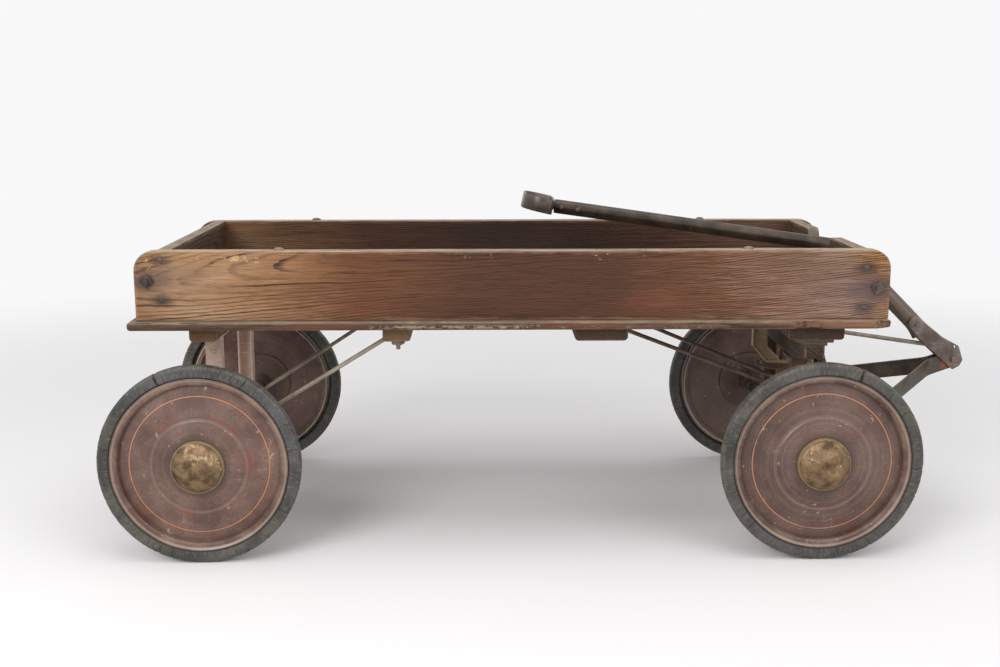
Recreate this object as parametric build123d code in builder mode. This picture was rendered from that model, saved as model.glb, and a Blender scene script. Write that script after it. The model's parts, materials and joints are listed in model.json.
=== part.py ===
from build123d import *
import os
from math import atan2, cos, degrees, hypot, radians, sin, sqrt, tan

# A newspaper delivery wagon: a long shallow wooden box on four steel disc wheels, with a
# steered front truck and a steel pulling tongue that is stored folded back over the box.
# Millimetres. +X runs forward to the tongue's pivot, +Y to the far side, +Z up from the floor.
# X = 0 is the middle of the overall length and Y = 0 the middle plane.

# Wheels
wheel_radius = 127.0
tyre_width = 18.4
tyre_shoulder = 3.5
rim_bed_radius = 104.0
bead_radius = 105.5
bead_height = 7.0
bead_thickness = 1.8
bead_stand = 0.4
disc_thickness = 2.0
disc_face = 11.0
disc_fall = 12.0
disc_corner = 3.0
groove_radius = 59.5
groove_half_flat = 1.0
groove_half_width = 3.0
groove_depth = 0.9
cap_radius = 33.5
cap_margin = 2.5
cap_rise = 19.0
cap_skirt = 3.0
cap_thickness = 1.5
hub_radius = 14.0
hub_stand = 3.0
hub_inner_length = 24.0
hub_plate_radius = 45.0
hub_plate_thickness = 2.5
track_half = 225.5
rear_axle_x = -452.0
front_axle_x = 328.0
axle_radius = 6.35
axle_nut_radius = 10.35
axle_nut_length = 7.0
axle_tip_length = 2.0
collar_radius = 10.35
collar_length = 9.0

# Outer flange of the wheel's rim: height above the bed, then how far its back and its front
# lie inside the tyre's outer face
rim_flange = [
    (0.0, 5.0, 2.8),
    (3.0, 4.5, 2.2),
    (6.2, 2.7, 0.6),
    (7.0, 2.4, 0.8),
]

# Box
side_rear_x = -530.6
side_front_x = 412.7
box_half_width = 193.7
side_thickness = 18.0
side_height = 88.0
side_corner_radius = 25.0
end_inset = 26.2
end_thickness = 16.0
floor_top = 303.0
floor_thickness = 11.0
floor_overhang = 10.0
floor_front_overhang = 2.0
floor_nose_radius = 3.5
floor_board_count = 4
floor_board_gap = 0.8
notch_half_bottom = 44.0
notch_half_top = 62.0
notch_corner_radius = 9.0

# Cleats under the floor: name, middle x, width along x
cleat_thickness = 19.5
cleat_half_length = 175.0
cleat_edge_radius = 5.0
cleat_rear_mid_x = -207.0
cleat_rear_mid_width = 36.0
cleat_front_mid_x = 53.5
cleat_front_mid_width = 68.0
cleats = [
    ("cleat_rear", rear_axle_x, 36.0),
    ("cleat_rear_mid", cleat_rear_mid_x, cleat_rear_mid_width),
    ("cleat_front_mid", cleat_front_mid_x, cleat_front_mid_width),
    ("cleat_front", front_axle_x, 72.0),
]

# Tie rods across the box, outside each end board
tie_rod_radius = 3.0
tie_rod_offset = 10.0
tie_rod_rear_z = 354.0
tie_rod_front_z = 343.0
nut_width = 12.0
nut_thickness = 5.0
nut_reach = 3.0
nut_turn = 12.0

# Channel posts that carry the axles
post_width = 21.0
post_depth = 18.0
post_wall = 2.5
post_foot_width = 32.0
post_foot_reach = 34.0
rear_post_face = 118.0
front_post_face = 95.0

# Front truck
steer_limit = 25.0
plate_thickness = 4.0
plate_overhang = 2.0
plate_corner_radius = 3.0
upper_plate_half_x = 24.0
lower_plate_half_x = 16.0
block_half_x = 13.0
block_half_y = 170.0
block_height = 29.0
block_end_height = 17.0
block_end_length = 52.0
king_radius = 5.0
king_head_radius = 12.0
king_head_height = 4.0
king_head_taper = 35.0
king_bottom_z = 158.0
king_nut_radius = 8.4
king_nut_height = 8.0
king_spacer_height = 5.0
king_spacer_radius = 6.5
dish_radius = 38.0
dish_drop = 3.0
dish_rim_width = 5.0
dish_slope_width = 4.0
dish_thickness = 2.0
dish_z = 206.0
stay_width = 21.0
stay_thickness = 4.0
stay_depth = 8.0
stay_wall = 2.0
stay_offset = 26.0
stay_near_y = -14.0
stay_foot_depth = 22.0
stay_knee_rise = 25.0
stay_toe_back = 9.0
stay_toe_height = 7.0
stay_eye_radius = 17.0

# Round rods
rod_radius = 2.8
rod_eye_radius = 10.5
rod_eye_thickness = 5.8
rod_tab_length = 24.0
rod_tab_width = 14.0
rod_tab_thickness = 3.0
rod_tab_corner_radius = 4.6
rear_rod_top_y = 153.0
front_rod_top_y = 74.0

# Hounds: two flat bars on edge from the axle ends to the tongue's pivot
hound_height = 22.0
hound_thickness = 4.0
hound_collar_gap = 7.0
hound_front_y = 7.4
hound_front_length = 35.0
hound_back_length = 26.0
hound_end_margin = 2.0
hound_bend_radius = 14.0
brace_front_x = 549.0
brace_front_z = 229.0
brace_back_z = 260.0
brace_radius = 3.0
brace_bend_radius = 12.0
brace_eye_radius = 8.5
brace_gap = 0.8

# Tongue
pivot_x = 567.0
pivot_z = 212.0
pivot_radius = 4.0
pin_head_radius = 5.5
pin_head_height = 2.4
tongue_height = 20.0
tongue_wall = 2.0
tongue_corner_radius = 9.0
tongue_slope = 8.13
tongue_tail_x = 2.0
tongue_tail_rivets = (9.0, 32.0)
tongue_corner_x = 402.0
tongue_corner_z = 371.5
neck_slope = 45.0
neck_length = 170.0
neck_rivets = (155.4,)
tongue_bend_radius = 44.0
fork_thickness = 3.5
spare_hole_x = -1.0
spare_hole_z = 17.5
spare_hole_radius = 2.8
rivet_radius = 1.8
rivet_head_radius = 3.2
rivet_head_height = 1.4
head_taper = 25.0
strap_height = 20.0
strap_thickness = 2.4
loop_slope = 13.0
loop_length = 39.0
loop_gap = 5.0
loop_half_width = 40.0
loop_corner_radius = 25.0
loop_shoulder_radius = 4.0
loop_foot_radius = 3.0
tang_length = 40.0
tang_height = 9.0
tang_inset = 1.1

# Clearances
running_fit = 0.05
seat_fit = 0.1
hole_fit = 0.3
side_gap = 0.3
notch_gap = 1.5
rim_fit = 0.2
hub_gap = 0.5

# Heights and faces worked out from the sizes above
floor_bottom = floor_top - floor_thickness
cleat_bottom = floor_bottom - cleat_thickness
upper_plate_bottom = cleat_bottom - plate_thickness
lower_plate_bottom = upper_plate_bottom - plate_thickness
block_bottom = lower_plate_bottom - block_height
plate_half_y = block_half_y + plate_overhang
axle_z = wheel_radius
end_half_width = box_half_width - side_thickness
end_rear_x = side_rear_x + end_inset
end_front_x = side_front_x - end_inset
tie_rods = [
    ("tie_rod_rear", end_rear_x - tie_rod_offset, tie_rod_rear_z),
    ("tie_rod_front", end_front_x + tie_rod_offset, tie_rod_front_z),
]
sides = [("near", -1), ("far", 1)]


def keep(piece, name):
    """Labels a finished piece and writes its STEP file."""
    piece.part.label = name
    export_step(piece.part, f"parts/{name}.step")


def upright(y):
    """A plane facing the near side at this y, with x forward and its own y up."""
    return Plane(origin=(0, y, 0), x_dir=(1, 0, 0), z_dir=(0, -1, 0))


os.makedirs("parts", exist_ok=True)

# Floor of long boards, with a rounded nose all round
floor_rear_x = side_rear_x - floor_overhang
floor_front_x = side_front_x + floor_front_overhang
floor_length = floor_front_x - floor_rear_x
floor_width = 2 * (box_half_width + floor_overhang)
floor_mid_x = (floor_front_x + floor_rear_x) / 2
with BuildPart() as floor_boards:
    with BuildSketch(Plane.XY.offset(floor_bottom)):
        with Locations((floor_mid_x, 0)):
            Rectangle(floor_length, floor_width)
    extrude(amount=floor_thickness)
    fillet(floor_boards.faces().sort_by(Axis.Z)[-1].edges(), floor_nose_radius)
    fillet(floor_boards.faces().sort_by(Axis.Z)[0].edges(), floor_nose_radius)
    with BuildSketch(Plane.XY.offset(floor_bottom)):
        with Locations((floor_mid_x, 0)):
            with GridLocations(0, floor_width / floor_board_count, 1, floor_board_count - 1):
                Rectangle(floor_length, floor_board_gap)
        with Locations((front_axle_x, 0)):
            Circle(king_radius + seat_fit)
    extrude(amount=floor_thickness, mode=Mode.SUBTRACT)
keep(floor_boards, "floor_boards")

# Side boards, rounded at their upper corners and drilled for the tie rods
side_length = side_front_x - side_rear_x
side_top = floor_top + side_height
for side_name, side in sides:
    with BuildPart() as side_board:
        with BuildSketch(upright(side * (box_half_width - side_thickness / 2))):
            with Locations(((side_front_x + side_rear_x) / 2, floor_top + side_height / 2)):
                board = Rectangle(side_length, side_height)
            fillet(board.vertices().group_by(Axis.Y)[-1], side_corner_radius)
            with Locations([(x, z) for _, x, z in tie_rods]):
                Circle(tie_rod_radius + hole_fit, mode=Mode.SUBTRACT)
        extrude(amount=side_thickness / 2, both=True)
    keep(side_board, f"side_board_{side_name}")

# Tongue's underside where it crosses the front end board with the truck turned as far as it
# goes, which the notch is cut to. The bend that begins there takes it lower still.
fork_inner = hound_front_y + hound_thickness / 2 + side_gap
tongue_width = 2 * fork_inner
turn = radians(steer_limit)
slope = radians(tongue_slope)
neck = radians(neck_slope)
end_reach = (end_front_x - front_axle_x + fork_inner * sin(turn)) / cos(turn)
bend_tangent = tongue_bend_radius * tan((neck - slope) / 2)
bend_reach = tongue_corner_x - front_axle_x - bend_tangent * cos(slope)
bend_drop = max(0, end_reach - bend_reach) ** 2 / (2 * tongue_bend_radius - tongue_height)
tongue_over_end = tongue_corner_z + (tongue_corner_x - front_axle_x - end_reach) * tan(slope)
notch_bottom = tongue_over_end - tongue_height / 2 / cos(slope) - bend_drop - notch_gap

# End boards between the sides, the front one with a notch that takes the stored tongue
with BuildPart() as end_board_rear:
    with BuildSketch(Plane.YZ.offset(end_rear_x)):
        with Locations((0, floor_top + side_height / 2)):
            Rectangle(2 * end_half_width, side_height)
    extrude(amount=end_thickness)
keep(end_board_rear, "end_board_rear")

with BuildPart() as end_board_front:
    with BuildSketch(Plane.YZ.offset(end_front_x)):
        with BuildLine():
            Polyline(
                (-end_half_width, floor_top),
                (end_half_width, floor_top),
                (end_half_width, side_top),
                (notch_half_top, side_top),
                (notch_half_bottom, notch_bottom),
                (-notch_half_bottom, notch_bottom),
                (-notch_half_top, side_top),
                (-end_half_width, side_top),
                close=True,
            )
        outline = make_face()
        for corners in outline.vertices().group_by(Axis.X)[1:-1]:
            fillet(corners, notch_corner_radius)
    extrude(amount=-end_thickness)
keep(end_board_front, "end_board_front")

# Cleats across the underside, with rounded lower edges
for cleat_name, cleat_x, cleat_width in cleats:
    with BuildPart() as cleat:
        with BuildSketch(Plane.XZ.offset(-cleat_half_length)):
            with Locations((cleat_x, cleat_bottom + cleat_thickness / 2)):
                section = Rectangle(cleat_width, cleat_thickness)
            fillet(section.vertices().group_by(Axis.Y)[0], cleat_edge_radius)
        extrude(amount=2 * cleat_half_length)
        if cleat_x == front_axle_x:
            with Locations((front_axle_x, 0, cleat_bottom)):
                Hole(king_radius + seat_fit, depth=2 * cleat_thickness)
    keep(cleat, cleat_name)

# Tie rods across the box outside each end board, with square nuts on the side boards
for rod_name, rod_x, rod_z in tie_rods:
    with BuildPart() as tie_rod:
        with BuildSketch(Plane(origin=(rod_x, 0, rod_z), x_dir=(1, 0, 0), z_dir=(0, 1, 0))):
            Circle(tie_rod_radius)
        extrude(amount=box_half_width + nut_thickness + nut_reach, both=True)
        for _, side in sides:
            face = Plane(
                origin=(rod_x, side * box_half_width, rod_z),
                x_dir=(1, 0, 0),
                z_dir=(0, side, 0),
            )
            with BuildSketch(face):
                Rectangle(nut_width, nut_width, rotation=nut_turn)
            extrude(amount=nut_thickness)
    keep(tie_rod, rod_name)


def channel_post(axle_x, face, top):
    """A channel-section post with a bent foot plate under its top and the axle through its web."""
    side = 1 if face > 0 else -1
    outside = abs(face)
    with BuildPart() as post:
        with BuildSketch(Plane(origin=(axle_x, face, 0), x_dir=(-side, 0, 0), z_dir=(0, side, 0))):
            with Locations((0, (top + axle_z) / 2)):
                Rectangle(post_width, top - axle_z)
            with Locations((0, axle_z)):
                Circle(post_width / 2)
                Circle(axle_radius + seat_fit, mode=Mode.SUBTRACT)
        extrude(amount=-post_wall)
        flange_bottom = axle_z + axle_radius + post_wall
        with BuildSketch(Plane.XY.offset(flange_bottom)):
            with Locations((axle_x, side * (outside - post_depth / 2))):
                Rectangle(post_width, post_depth)
            with Locations((axle_x, side * (outside - post_wall - post_depth / 2))):
                Rectangle(post_width - 2 * post_wall, post_depth, mode=Mode.SUBTRACT)
        extrude(amount=top - flange_bottom)
        with BuildSketch(Plane.XY.offset(top)):
            with Locations((axle_x, side * (outside - post_foot_reach / 2))):
                RectangleRounded(post_foot_width, post_foot_reach, post_wall)
        extrude(amount=-post_wall)
    return post


def channel_posts(prefix, axle_x, face, top):
    """The pair of posts of one axle."""
    for side_name, side in sides:
        keep(channel_post(axle_x, side * face, top), f"{prefix}_{side_name}")


channel_posts("rear_post", rear_axle_x, rear_post_face, cleat_bottom)
channel_posts("front_post", front_axle_x, front_post_face, block_bottom)

# Axles, with a collar inside each hub and a nut outside it under the hub cap
hub_inner_y = track_half - hub_inner_length
hub_outer_w = disc_face + hub_stand
axle_nut_y = track_half + hub_outer_w + hub_gap
for axle_name, axle_x in [("rear_axle", rear_axle_x), ("front_axle", front_axle_x)]:
    with BuildPart() as axle:
        with BuildSketch(Plane(origin=(axle_x, 0, axle_z), x_dir=(1, 0, 0), z_dir=(0, 1, 0))):
            Circle(axle_radius)
        extrude(amount=axle_nut_y + axle_nut_length + axle_tip_length, both=True)
        for _, side in sides:
            collar_plane = Plane(
                origin=(axle_x, side * (hub_inner_y - hub_gap), axle_z),
                x_dir=(1, 0, 0),
                z_dir=(0, -side, 0),
            )
            with BuildSketch(collar_plane):
                Circle(collar_radius)
            extrude(amount=collar_length)
            nut_plane = Plane(
                origin=(axle_x, side * axle_nut_y, axle_z),
                x_dir=(1, 0, 0),
                z_dir=(0, side, 0),
            )
            with BuildSketch(nut_plane):
                RegularPolygon(axle_nut_radius, 6)
            extrude(amount=axle_nut_length)
    keep(axle, axle_name)

# Wheels. Profiles are drawn as (distance outwards from the tyre's middle plane, radius).
half_tyre = tyre_width / 2
bed = rim_bed_radius
sheet_bed = bed - disc_thickness
bead_w = -half_tyre - bead_stand
bead_seat = bead_w + bead_thickness
seat_radius = cap_radius + cap_margin
cone_end = bed - disc_corner


def cone(radius):
    """Outer face of the dished disc at this radius."""
    return disc_face - disc_fall * (radius - seat_radius) / (cone_end - seat_radius)


def flange_face(column, gap):
    """One face of the rim's outer flange, 1 its back and 2 its front, moved inwards by a gap."""
    return [(half_tyre - row[column] - gap, bed + row[0] + gap) for row in rim_flange]


groove_sides = (groove_half_width, groove_half_flat, -groove_half_flat, -groove_half_width)
groove_depths = (0, groove_depth, groove_depth, 0)
groove = [
    (cone(groove_radius - offset) - depth, groove_radius - offset)
    for offset, depth in zip(groove_sides, groove_depths)
]
disc_profile = [
    (disc_face, hub_radius),
    (disc_face, seat_radius),
    *groove,
    (cone(cone_end), cone_end),
    (cone(cone_end), sheet_bed),
    (flange_face(1, 0)[0][0], sheet_bed),
    *flange_face(2, 0),
    *reversed(flange_face(1, 0)),
    (bead_seat, bed),
    (bead_seat, bead_radius),
    (bead_w, bead_radius),
    (bead_w, bead_radius - bead_height),
    (bead_seat, bead_radius - bead_height),
    (bead_seat, sheet_bed),
    (cone(cone_end) - disc_thickness, sheet_bed),
    (cone(hub_plate_radius) - disc_thickness, hub_plate_radius),
    (cone(hub_plate_radius) - disc_thickness - hub_plate_thickness, hub_plate_radius),
    (cone(hub_plate_radius) - disc_thickness - hub_plate_thickness, hub_radius),
    (-hub_inner_length, hub_radius),
    (-hub_inner_length, axle_radius + running_fit),
    (hub_outer_w, axle_radius + running_fit),
    (hub_outer_w, hub_radius),
]
tyre_profile = [
    (bead_seat + rim_fit, bed + rim_fit),
    *flange_face(1, rim_fit),
    (half_tyre, flange_face(1, rim_fit)[-1][1]),
    (half_tyre, wheel_radius),
    (-half_tyre, wheel_radius),
    (-half_tyre, bead_radius + rim_fit),
    (bead_seat + rim_fit, bead_radius + rim_fit),
]


def wheel_plane(axle_x, side):
    """Plane through the wheel's axis, x outwards and y up from the axis."""
    return Plane(
        origin=(axle_x, side * track_half, axle_z), x_dir=(0, side, 0), z_dir=(side, 0, 0)
    )


def dome_point(peak, radius):
    """A point half way up the round dome that rises from the cap's skirt to this peak."""
    rise = peak - skirt_w
    ball = (radius**2 + rise**2) / (2 * rise)
    return (peak - ball + sqrt(ball**2 - (radius / 2) ** 2), radius / 2)


skirt_w = disc_face + cap_skirt
peak_w = disc_face + cap_rise
inner_w = peak_w - cap_thickness
cap_bore = cap_radius - cap_thickness
wheels = [
    ("rear_near", rear_axle_x, -1),
    ("rear_far", rear_axle_x, 1),
    ("front_near", front_axle_x, -1),
    ("front_far", front_axle_x, 1),
]
for wheel_name, wheel_x, side in wheels:
    plane = wheel_plane(wheel_x, side)
    spin_axis = Axis((wheel_x, 0, axle_z), (0, 1, 0))
    with BuildPart() as tyre:
        with BuildSketch(plane):
            with BuildLine():
                Polyline(*tyre_profile, close=True)
            rubber = make_face()
            fillet(rubber.vertices().group_by(Axis.Y)[-1], tyre_shoulder)
        revolve(axis=spin_axis)
    keep(tyre, f"tyre_{wheel_name}")

    with BuildPart() as disc:
        with BuildSketch(plane):
            with BuildLine():
                Polyline(*disc_profile, close=True)
            make_face()
        revolve(axis=spin_axis)
    keep(disc, f"disc_{wheel_name}")

    with BuildPart() as cap:
        with BuildSketch(plane):
            with BuildLine():
                Line((disc_face, cap_bore), (disc_face, cap_radius))
                Line((disc_face, cap_radius), (skirt_w, cap_radius))
                ThreePointArc((skirt_w, cap_radius), dome_point(peak_w, cap_radius), (peak_w, 0))
                Line((peak_w, 0), (inner_w, 0))
                ThreePointArc((inner_w, 0), dome_point(inner_w, cap_bore), (skirt_w, cap_bore))
                Line((skirt_w, cap_bore), (disc_face, cap_bore))
            make_face()
        revolve(axis=spin_axis)
    keep(cap, f"cap_{wheel_name}")

# Bearing plates that turn on each other, the upper one under the front cleat
plates = [
    ("upper_plate", upper_plate_bottom, upper_plate_half_x, seat_fit),
    ("lower_plate", lower_plate_bottom, lower_plate_half_x, running_fit),
]
for plate_name, plate_z, half_x, fit in plates:
    with BuildPart() as plate:
        with BuildSketch(Plane.XY.offset(plate_z)):
            with Locations((front_axle_x, 0)):
                RectangleRounded(2 * half_x, 2 * plate_half_y, plate_corner_radius)
                Circle(king_radius + fit, mode=Mode.SUBTRACT)
        extrude(amount=plate_thickness)
    keep(plate, plate_name)

# Wooden block under the lower plate, over the front axle posts, with its ends cut thinner
block_shoulder = block_half_y - block_end_length
with BuildPart() as bolster_block:
    with BuildSketch(Plane.YZ.offset(front_axle_x)):
        with BuildLine():
            Polyline(
                (-block_half_y, lower_plate_bottom),
                (block_half_y, lower_plate_bottom),
                (block_half_y, lower_plate_bottom - block_end_height),
                (block_shoulder, block_bottom),
                (-block_shoulder, block_bottom),
                (-block_half_y, lower_plate_bottom - block_end_height),
                close=True,
            )
        make_face()
    extrude(amount=block_half_x, both=True)
    with BuildSketch(Plane.XY.offset(block_bottom)):
        with Locations((front_axle_x, 0)):
            Circle(king_radius + running_fit)
    extrude(amount=block_height, mode=Mode.SUBTRACT)
keep(bolster_block, "bolster_block")

# King bolt from the floor down through the truck, with its nuts and the spacer between the
# eyes of the two rods that stay its foot
king_eye_z = king_bottom_z + nut_reach + king_nut_height + seat_fit
with BuildPart() as king_bolt:
    with BuildSketch(Plane.XY.offset(king_bottom_z)):
        with Locations((front_axle_x, 0)):
            Circle(king_radius)
    extrude(amount=floor_top - king_bottom_z)
    with BuildSketch(Plane.XY.offset(floor_top)):
        with Locations((front_axle_x, 0)):
            Circle(king_head_radius)
    extrude(amount=king_head_height, taper=king_head_taper)
    with BuildSketch(Plane.XY.offset(king_bottom_z + nut_reach)):
        with Locations((front_axle_x, 0)):
            RegularPolygon(king_nut_radius, 6)
    extrude(amount=king_nut_height)
    with BuildSketch(Plane.XY.offset(king_eye_z + rod_eye_thickness + seat_fit / 2)):
        with Locations((front_axle_x, 0)):
            Circle(king_spacer_radius)
    extrude(amount=king_spacer_height)
    with BuildSketch(Plane.XY.offset(dish_z - king_nut_height)):
        with Locations((front_axle_x, 0)):
            RegularPolygon(king_nut_radius, 6)
    extrude(amount=king_nut_height)
keep(king_bolt, "king_bolt")

# Dished washer on the king bolt below the block
dish_middle = dish_radius - dish_rim_width - dish_slope_width
with BuildPart() as king_dish:
    with BuildSketch(Plane(origin=(front_axle_x, 0, dish_z), x_dir=(1, 0, 0), z_dir=(0, -1, 0))):
        with BuildLine():
            Polyline(
                (king_radius + seat_fit, 0),
                (dish_middle, 0),
                (dish_radius - dish_rim_width, -dish_drop),
                (dish_radius, -dish_drop),
                (dish_radius, dish_thickness - dish_drop),
                (dish_radius - dish_rim_width, dish_thickness - dish_drop),
                (dish_middle, dish_thickness),
                (king_radius + seat_fit, dish_thickness),
                close=True,
            )
        make_face()
    revolve(axis=Axis((front_axle_x, 0, dish_z), (0, 0, 1)))
keep(king_dish, "king_dish")

# Pressed stay on the near side of the king bolt: a shallow channel on edge that hangs from the
# cleat's rear edge and reaches forward, below the block, to an eye on the bolt
stay_front_x = front_axle_x - stay_offset
stay_back_x = stay_front_x - stay_width
stay_eye_z = dish_z + dish_thickness
stay_knee_z = stay_eye_z + stay_knee_rise
with BuildPart() as stay_strap:
    with BuildSketch(upright(stay_near_y)) as stay_side:
        with BuildLine():
            Polyline(
                (stay_back_x, cleat_bottom),
                (stay_front_x, cleat_bottom),
                (stay_front_x, stay_knee_z),
                (front_axle_x - stay_toe_back, stay_eye_z + stay_toe_height),
                (front_axle_x - stay_toe_back, stay_eye_z),
                (stay_front_x, stay_eye_z),
                (stay_back_x, stay_knee_z),
                close=True,
            )
        make_face()
    extrude(amount=-stay_depth)
    with BuildSketch(upright(stay_near_y)):
        offset(stay_side.sketch, amount=-stay_wall)
    extrude(amount=stay_wall - stay_depth, mode=Mode.SUBTRACT)
    with BuildSketch(Plane.XY.offset(cleat_bottom)):
        with Locations(((stay_front_x + stay_back_x) / 2, stay_near_y + stay_foot_depth / 2)):
            Rectangle(stay_width, stay_foot_depth)
    extrude(amount=-stay_wall)
    with BuildSketch(Plane.XY.offset(stay_eye_z)):
        with Locations((front_axle_x, 0)):
            Circle(stay_eye_radius)
        with Locations(((stay_front_x + front_axle_x) / 2, 0)):
            Rectangle(stay_offset, -2 * stay_near_y)
        with Locations((front_axle_x, 0)):
            Circle(king_radius + seat_fit, mode=Mode.SUBTRACT)
    extrude(amount=stay_thickness)
keep(stay_strap, "stay_strap")


def stay_rod(eye, eye_way, eye_bore, tab_edge, tab_side):
    """A round rod from an eye at its foot up to a flat tab under a cleat."""
    end = Vector(tab_edge.X, tab_edge.Y, tab_edge.Z - rod_tab_thickness / 2)
    middle = eye + eye_way * (rod_eye_thickness / 2)
    outwards = end - middle
    outwards = (outwards - eye_way * outwards.dot(eye_way)).normalized()
    start = middle + outwards * (rod_eye_radius - rod_radius / 2)
    way = end - start
    with BuildPart() as rod:
        with BuildSketch(Plane(origin=start, z_dir=way.normalized())):
            Circle(rod_radius)
        extrude(amount=way.length)
        with BuildSketch(Plane.XY.offset(tab_edge.Z - rod_tab_thickness)):
            with Locations((tab_edge.X + tab_side * rod_tab_length / 2, tab_edge.Y)):
                RectangleRounded(rod_tab_length, rod_tab_width, rod_tab_corner_radius)
        extrude(amount=rod_tab_thickness)
        with BuildSketch(Plane(origin=eye, z_dir=eye_way)):
            Circle(rod_eye_radius)
        extrude(amount=rod_eye_thickness)
        with BuildSketch(Plane(origin=eye, z_dir=eye_way)):
            Circle(eye_bore)
        extrude(amount=rod_eye_thickness, mode=Mode.SUBTRACT)
    return rod


# Rods from eyes on the rear axle, outside the posts, up to the cleat ahead of them
rear_tab_x = cleat_rear_mid_x - cleat_rear_mid_width / 2
for side_name, side in sides:
    rear_rod = stay_rod(
        eye=Vector(rear_axle_x, side * (rear_post_face + seat_fit), axle_z),
        eye_way=Vector(0, side, 0),
        eye_bore=axle_radius + seat_fit,
        tab_edge=Vector(rear_tab_x, side * rear_rod_top_y, cleat_bottom),
        tab_side=1,
    )
    keep(rear_rod, f"rear_rod_{side_name}")

# Rods from eyes on the foot of the king bolt, one on the other, back to the cleat behind it
front_tab_x = cleat_front_mid_x + cleat_front_mid_width / 2
for level, (side_name, side) in enumerate(sides):
    eye_z = king_eye_z + level * (rod_eye_thickness + king_spacer_height + seat_fit)
    front_rod = stay_rod(
        eye=Vector(front_axle_x, 0, eye_z),
        eye_way=Vector(0, 0, 1),
        eye_bore=king_radius + seat_fit,
        tab_edge=Vector(front_tab_x, side * front_rod_top_y, cleat_bottom),
        tab_side=-1,
    )
    keep(front_rod, f"front_rod_{side_name}")

# Hounds: flat bars on edge that reach from the axle's ends to the pivot, drawn as a bent strip
# seen from above and cut to a long slot shape seen from the side
hound_rise = atan2(pivot_z - axle_z, pivot_x - front_axle_x)
hound_reach = hypot(pivot_z - axle_z, pivot_x - front_axle_x)
hound_tip = hound_height / 2 + hound_end_margin
hound_face_y = hub_inner_y - hub_gap - collar_length - hound_collar_gap
hound_axle_y = hound_face_y - hound_thickness / 2
for side_name, side in sides:
    with BuildPart() as hound:
        with BuildSketch(Plane.XY):
            with BuildLine():
                FilletPolyline(
                    (front_axle_x - hound_tip, side * hound_axle_y),
                    (front_axle_x + hound_back_length, side * hound_axle_y),
                    (pivot_x - hound_front_length, side * hound_front_y),
                    (pivot_x + hound_tip, side * hound_front_y),
                    radius=hound_bend_radius,
                )
            trace(line_width=hound_thickness)
        extrude(amount=floor_top)
        with BuildSketch(Plane.XZ):
            with Locations(((front_axle_x + pivot_x) / 2, (axle_z + pivot_z) / 2)):
                SlotCenterToCenter(hound_reach, hound_height, rotation=degrees(hound_rise))
            with Locations((front_axle_x, axle_z)):
                Circle(axle_radius + seat_fit, mode=Mode.SUBTRACT)
            with Locations((pivot_x, pivot_z)):
                Circle(pivot_radius + seat_fit, mode=Mode.SUBTRACT)
        extrude(amount=hound_face_y + hound_thickness, both=True, mode=Mode.INTERSECT)
    keep(hound, f"hound_{side_name}")

# Brace rod from the block's front face to an eye on the pivot pin between the hounds
eye_half = hound_front_y - hound_thickness / 2 - seat_fit
with BuildPart() as brace_rod:
    with BuildLine(Plane.XZ) as brace_path:
        FilletPolyline(
            (front_axle_x + block_half_x + brace_gap, brace_back_z),
            (brace_front_x, brace_front_z),
            (pivot_x, pivot_z),
            radius=brace_bend_radius,
        )
    with BuildSketch(Plane(origin=brace_path.line @ 0, z_dir=brace_path.line % 0)):
        Circle(brace_radius)
    sweep(path=brace_path.line)
    with BuildSketch(Plane.XZ):
        with Locations((pivot_x, pivot_z)):
            Circle(brace_eye_radius)
    extrude(amount=eye_half, both=True)
    with BuildSketch(Plane.XZ):
        with Locations((pivot_x, pivot_z)):
            Circle(pivot_radius + seat_fit)
    extrude(amount=eye_half, both=True, mode=Mode.SUBTRACT)
keep(brace_rod, "brace_rod")

# Pivot pin through fork and hounds, with a flat head at each end
fork_outer = fork_inner + fork_thickness
pin_head_y = fork_outer + side_gap
with BuildPart() as pivot_pin:
    with BuildSketch(Plane.XZ):
        with Locations((pivot_x, pivot_z)):
            Circle(pivot_radius)
    extrude(amount=pin_head_y, both=True)
    for _, side in sides:
        with BuildSketch(Plane(origin=(pivot_x, side * pin_head_y, pivot_z), z_dir=(0, side, 0))):
            Circle(pin_head_radius)
        extrude(amount=pin_head_height, taper=head_taper)
keep(pivot_pin, "pivot_pin")

# Tongue tube: a long straight run that lies over the box, then a bend down to the fork
tail = Vector(
    tongue_tail_x, 0, tongue_corner_z + (tongue_corner_x - tongue_tail_x) * tan(slope)
)
corner = Vector(tongue_corner_x, 0, tongue_corner_z)
tongue_way = Vector(cos(slope), 0, -sin(slope))
neck_way = Vector(cos(neck), 0, -sin(neck))
neck_end = corner + neck_way * neck_length
tail_rivets = [tail + tongue_way * along for along in tongue_tail_rivets]
fork_rivet_spots = [corner + neck_way * along for along in neck_rivets]
with BuildPart() as tongue_tube:
    with BuildLine() as tongue_path:
        FilletPolyline(tail, corner, neck_end, radius=tongue_bend_radius)
    with BuildSketch(Plane(origin=tail, x_dir=(0, 1, 0), z_dir=tongue_way)):
        RectangleRounded(tongue_width, tongue_height, tongue_corner_radius)
        RectangleRounded(
            tongue_width - 2 * tongue_wall,
            tongue_height - 2 * tongue_wall,
            tongue_corner_radius - tongue_wall,
            mode=Mode.SUBTRACT,
        )
    sweep(path=tongue_path.line)
    with BuildSketch(Plane.XZ):
        with Locations([(spot.X, spot.Z) for spot in tail_rivets + fork_rivet_spots]):
            Circle(rivet_radius + seat_fit)
    extrude(amount=tongue_width, both=True, mode=Mode.SUBTRACT)
keep(tongue_tube, "tongue_tube")

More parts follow.
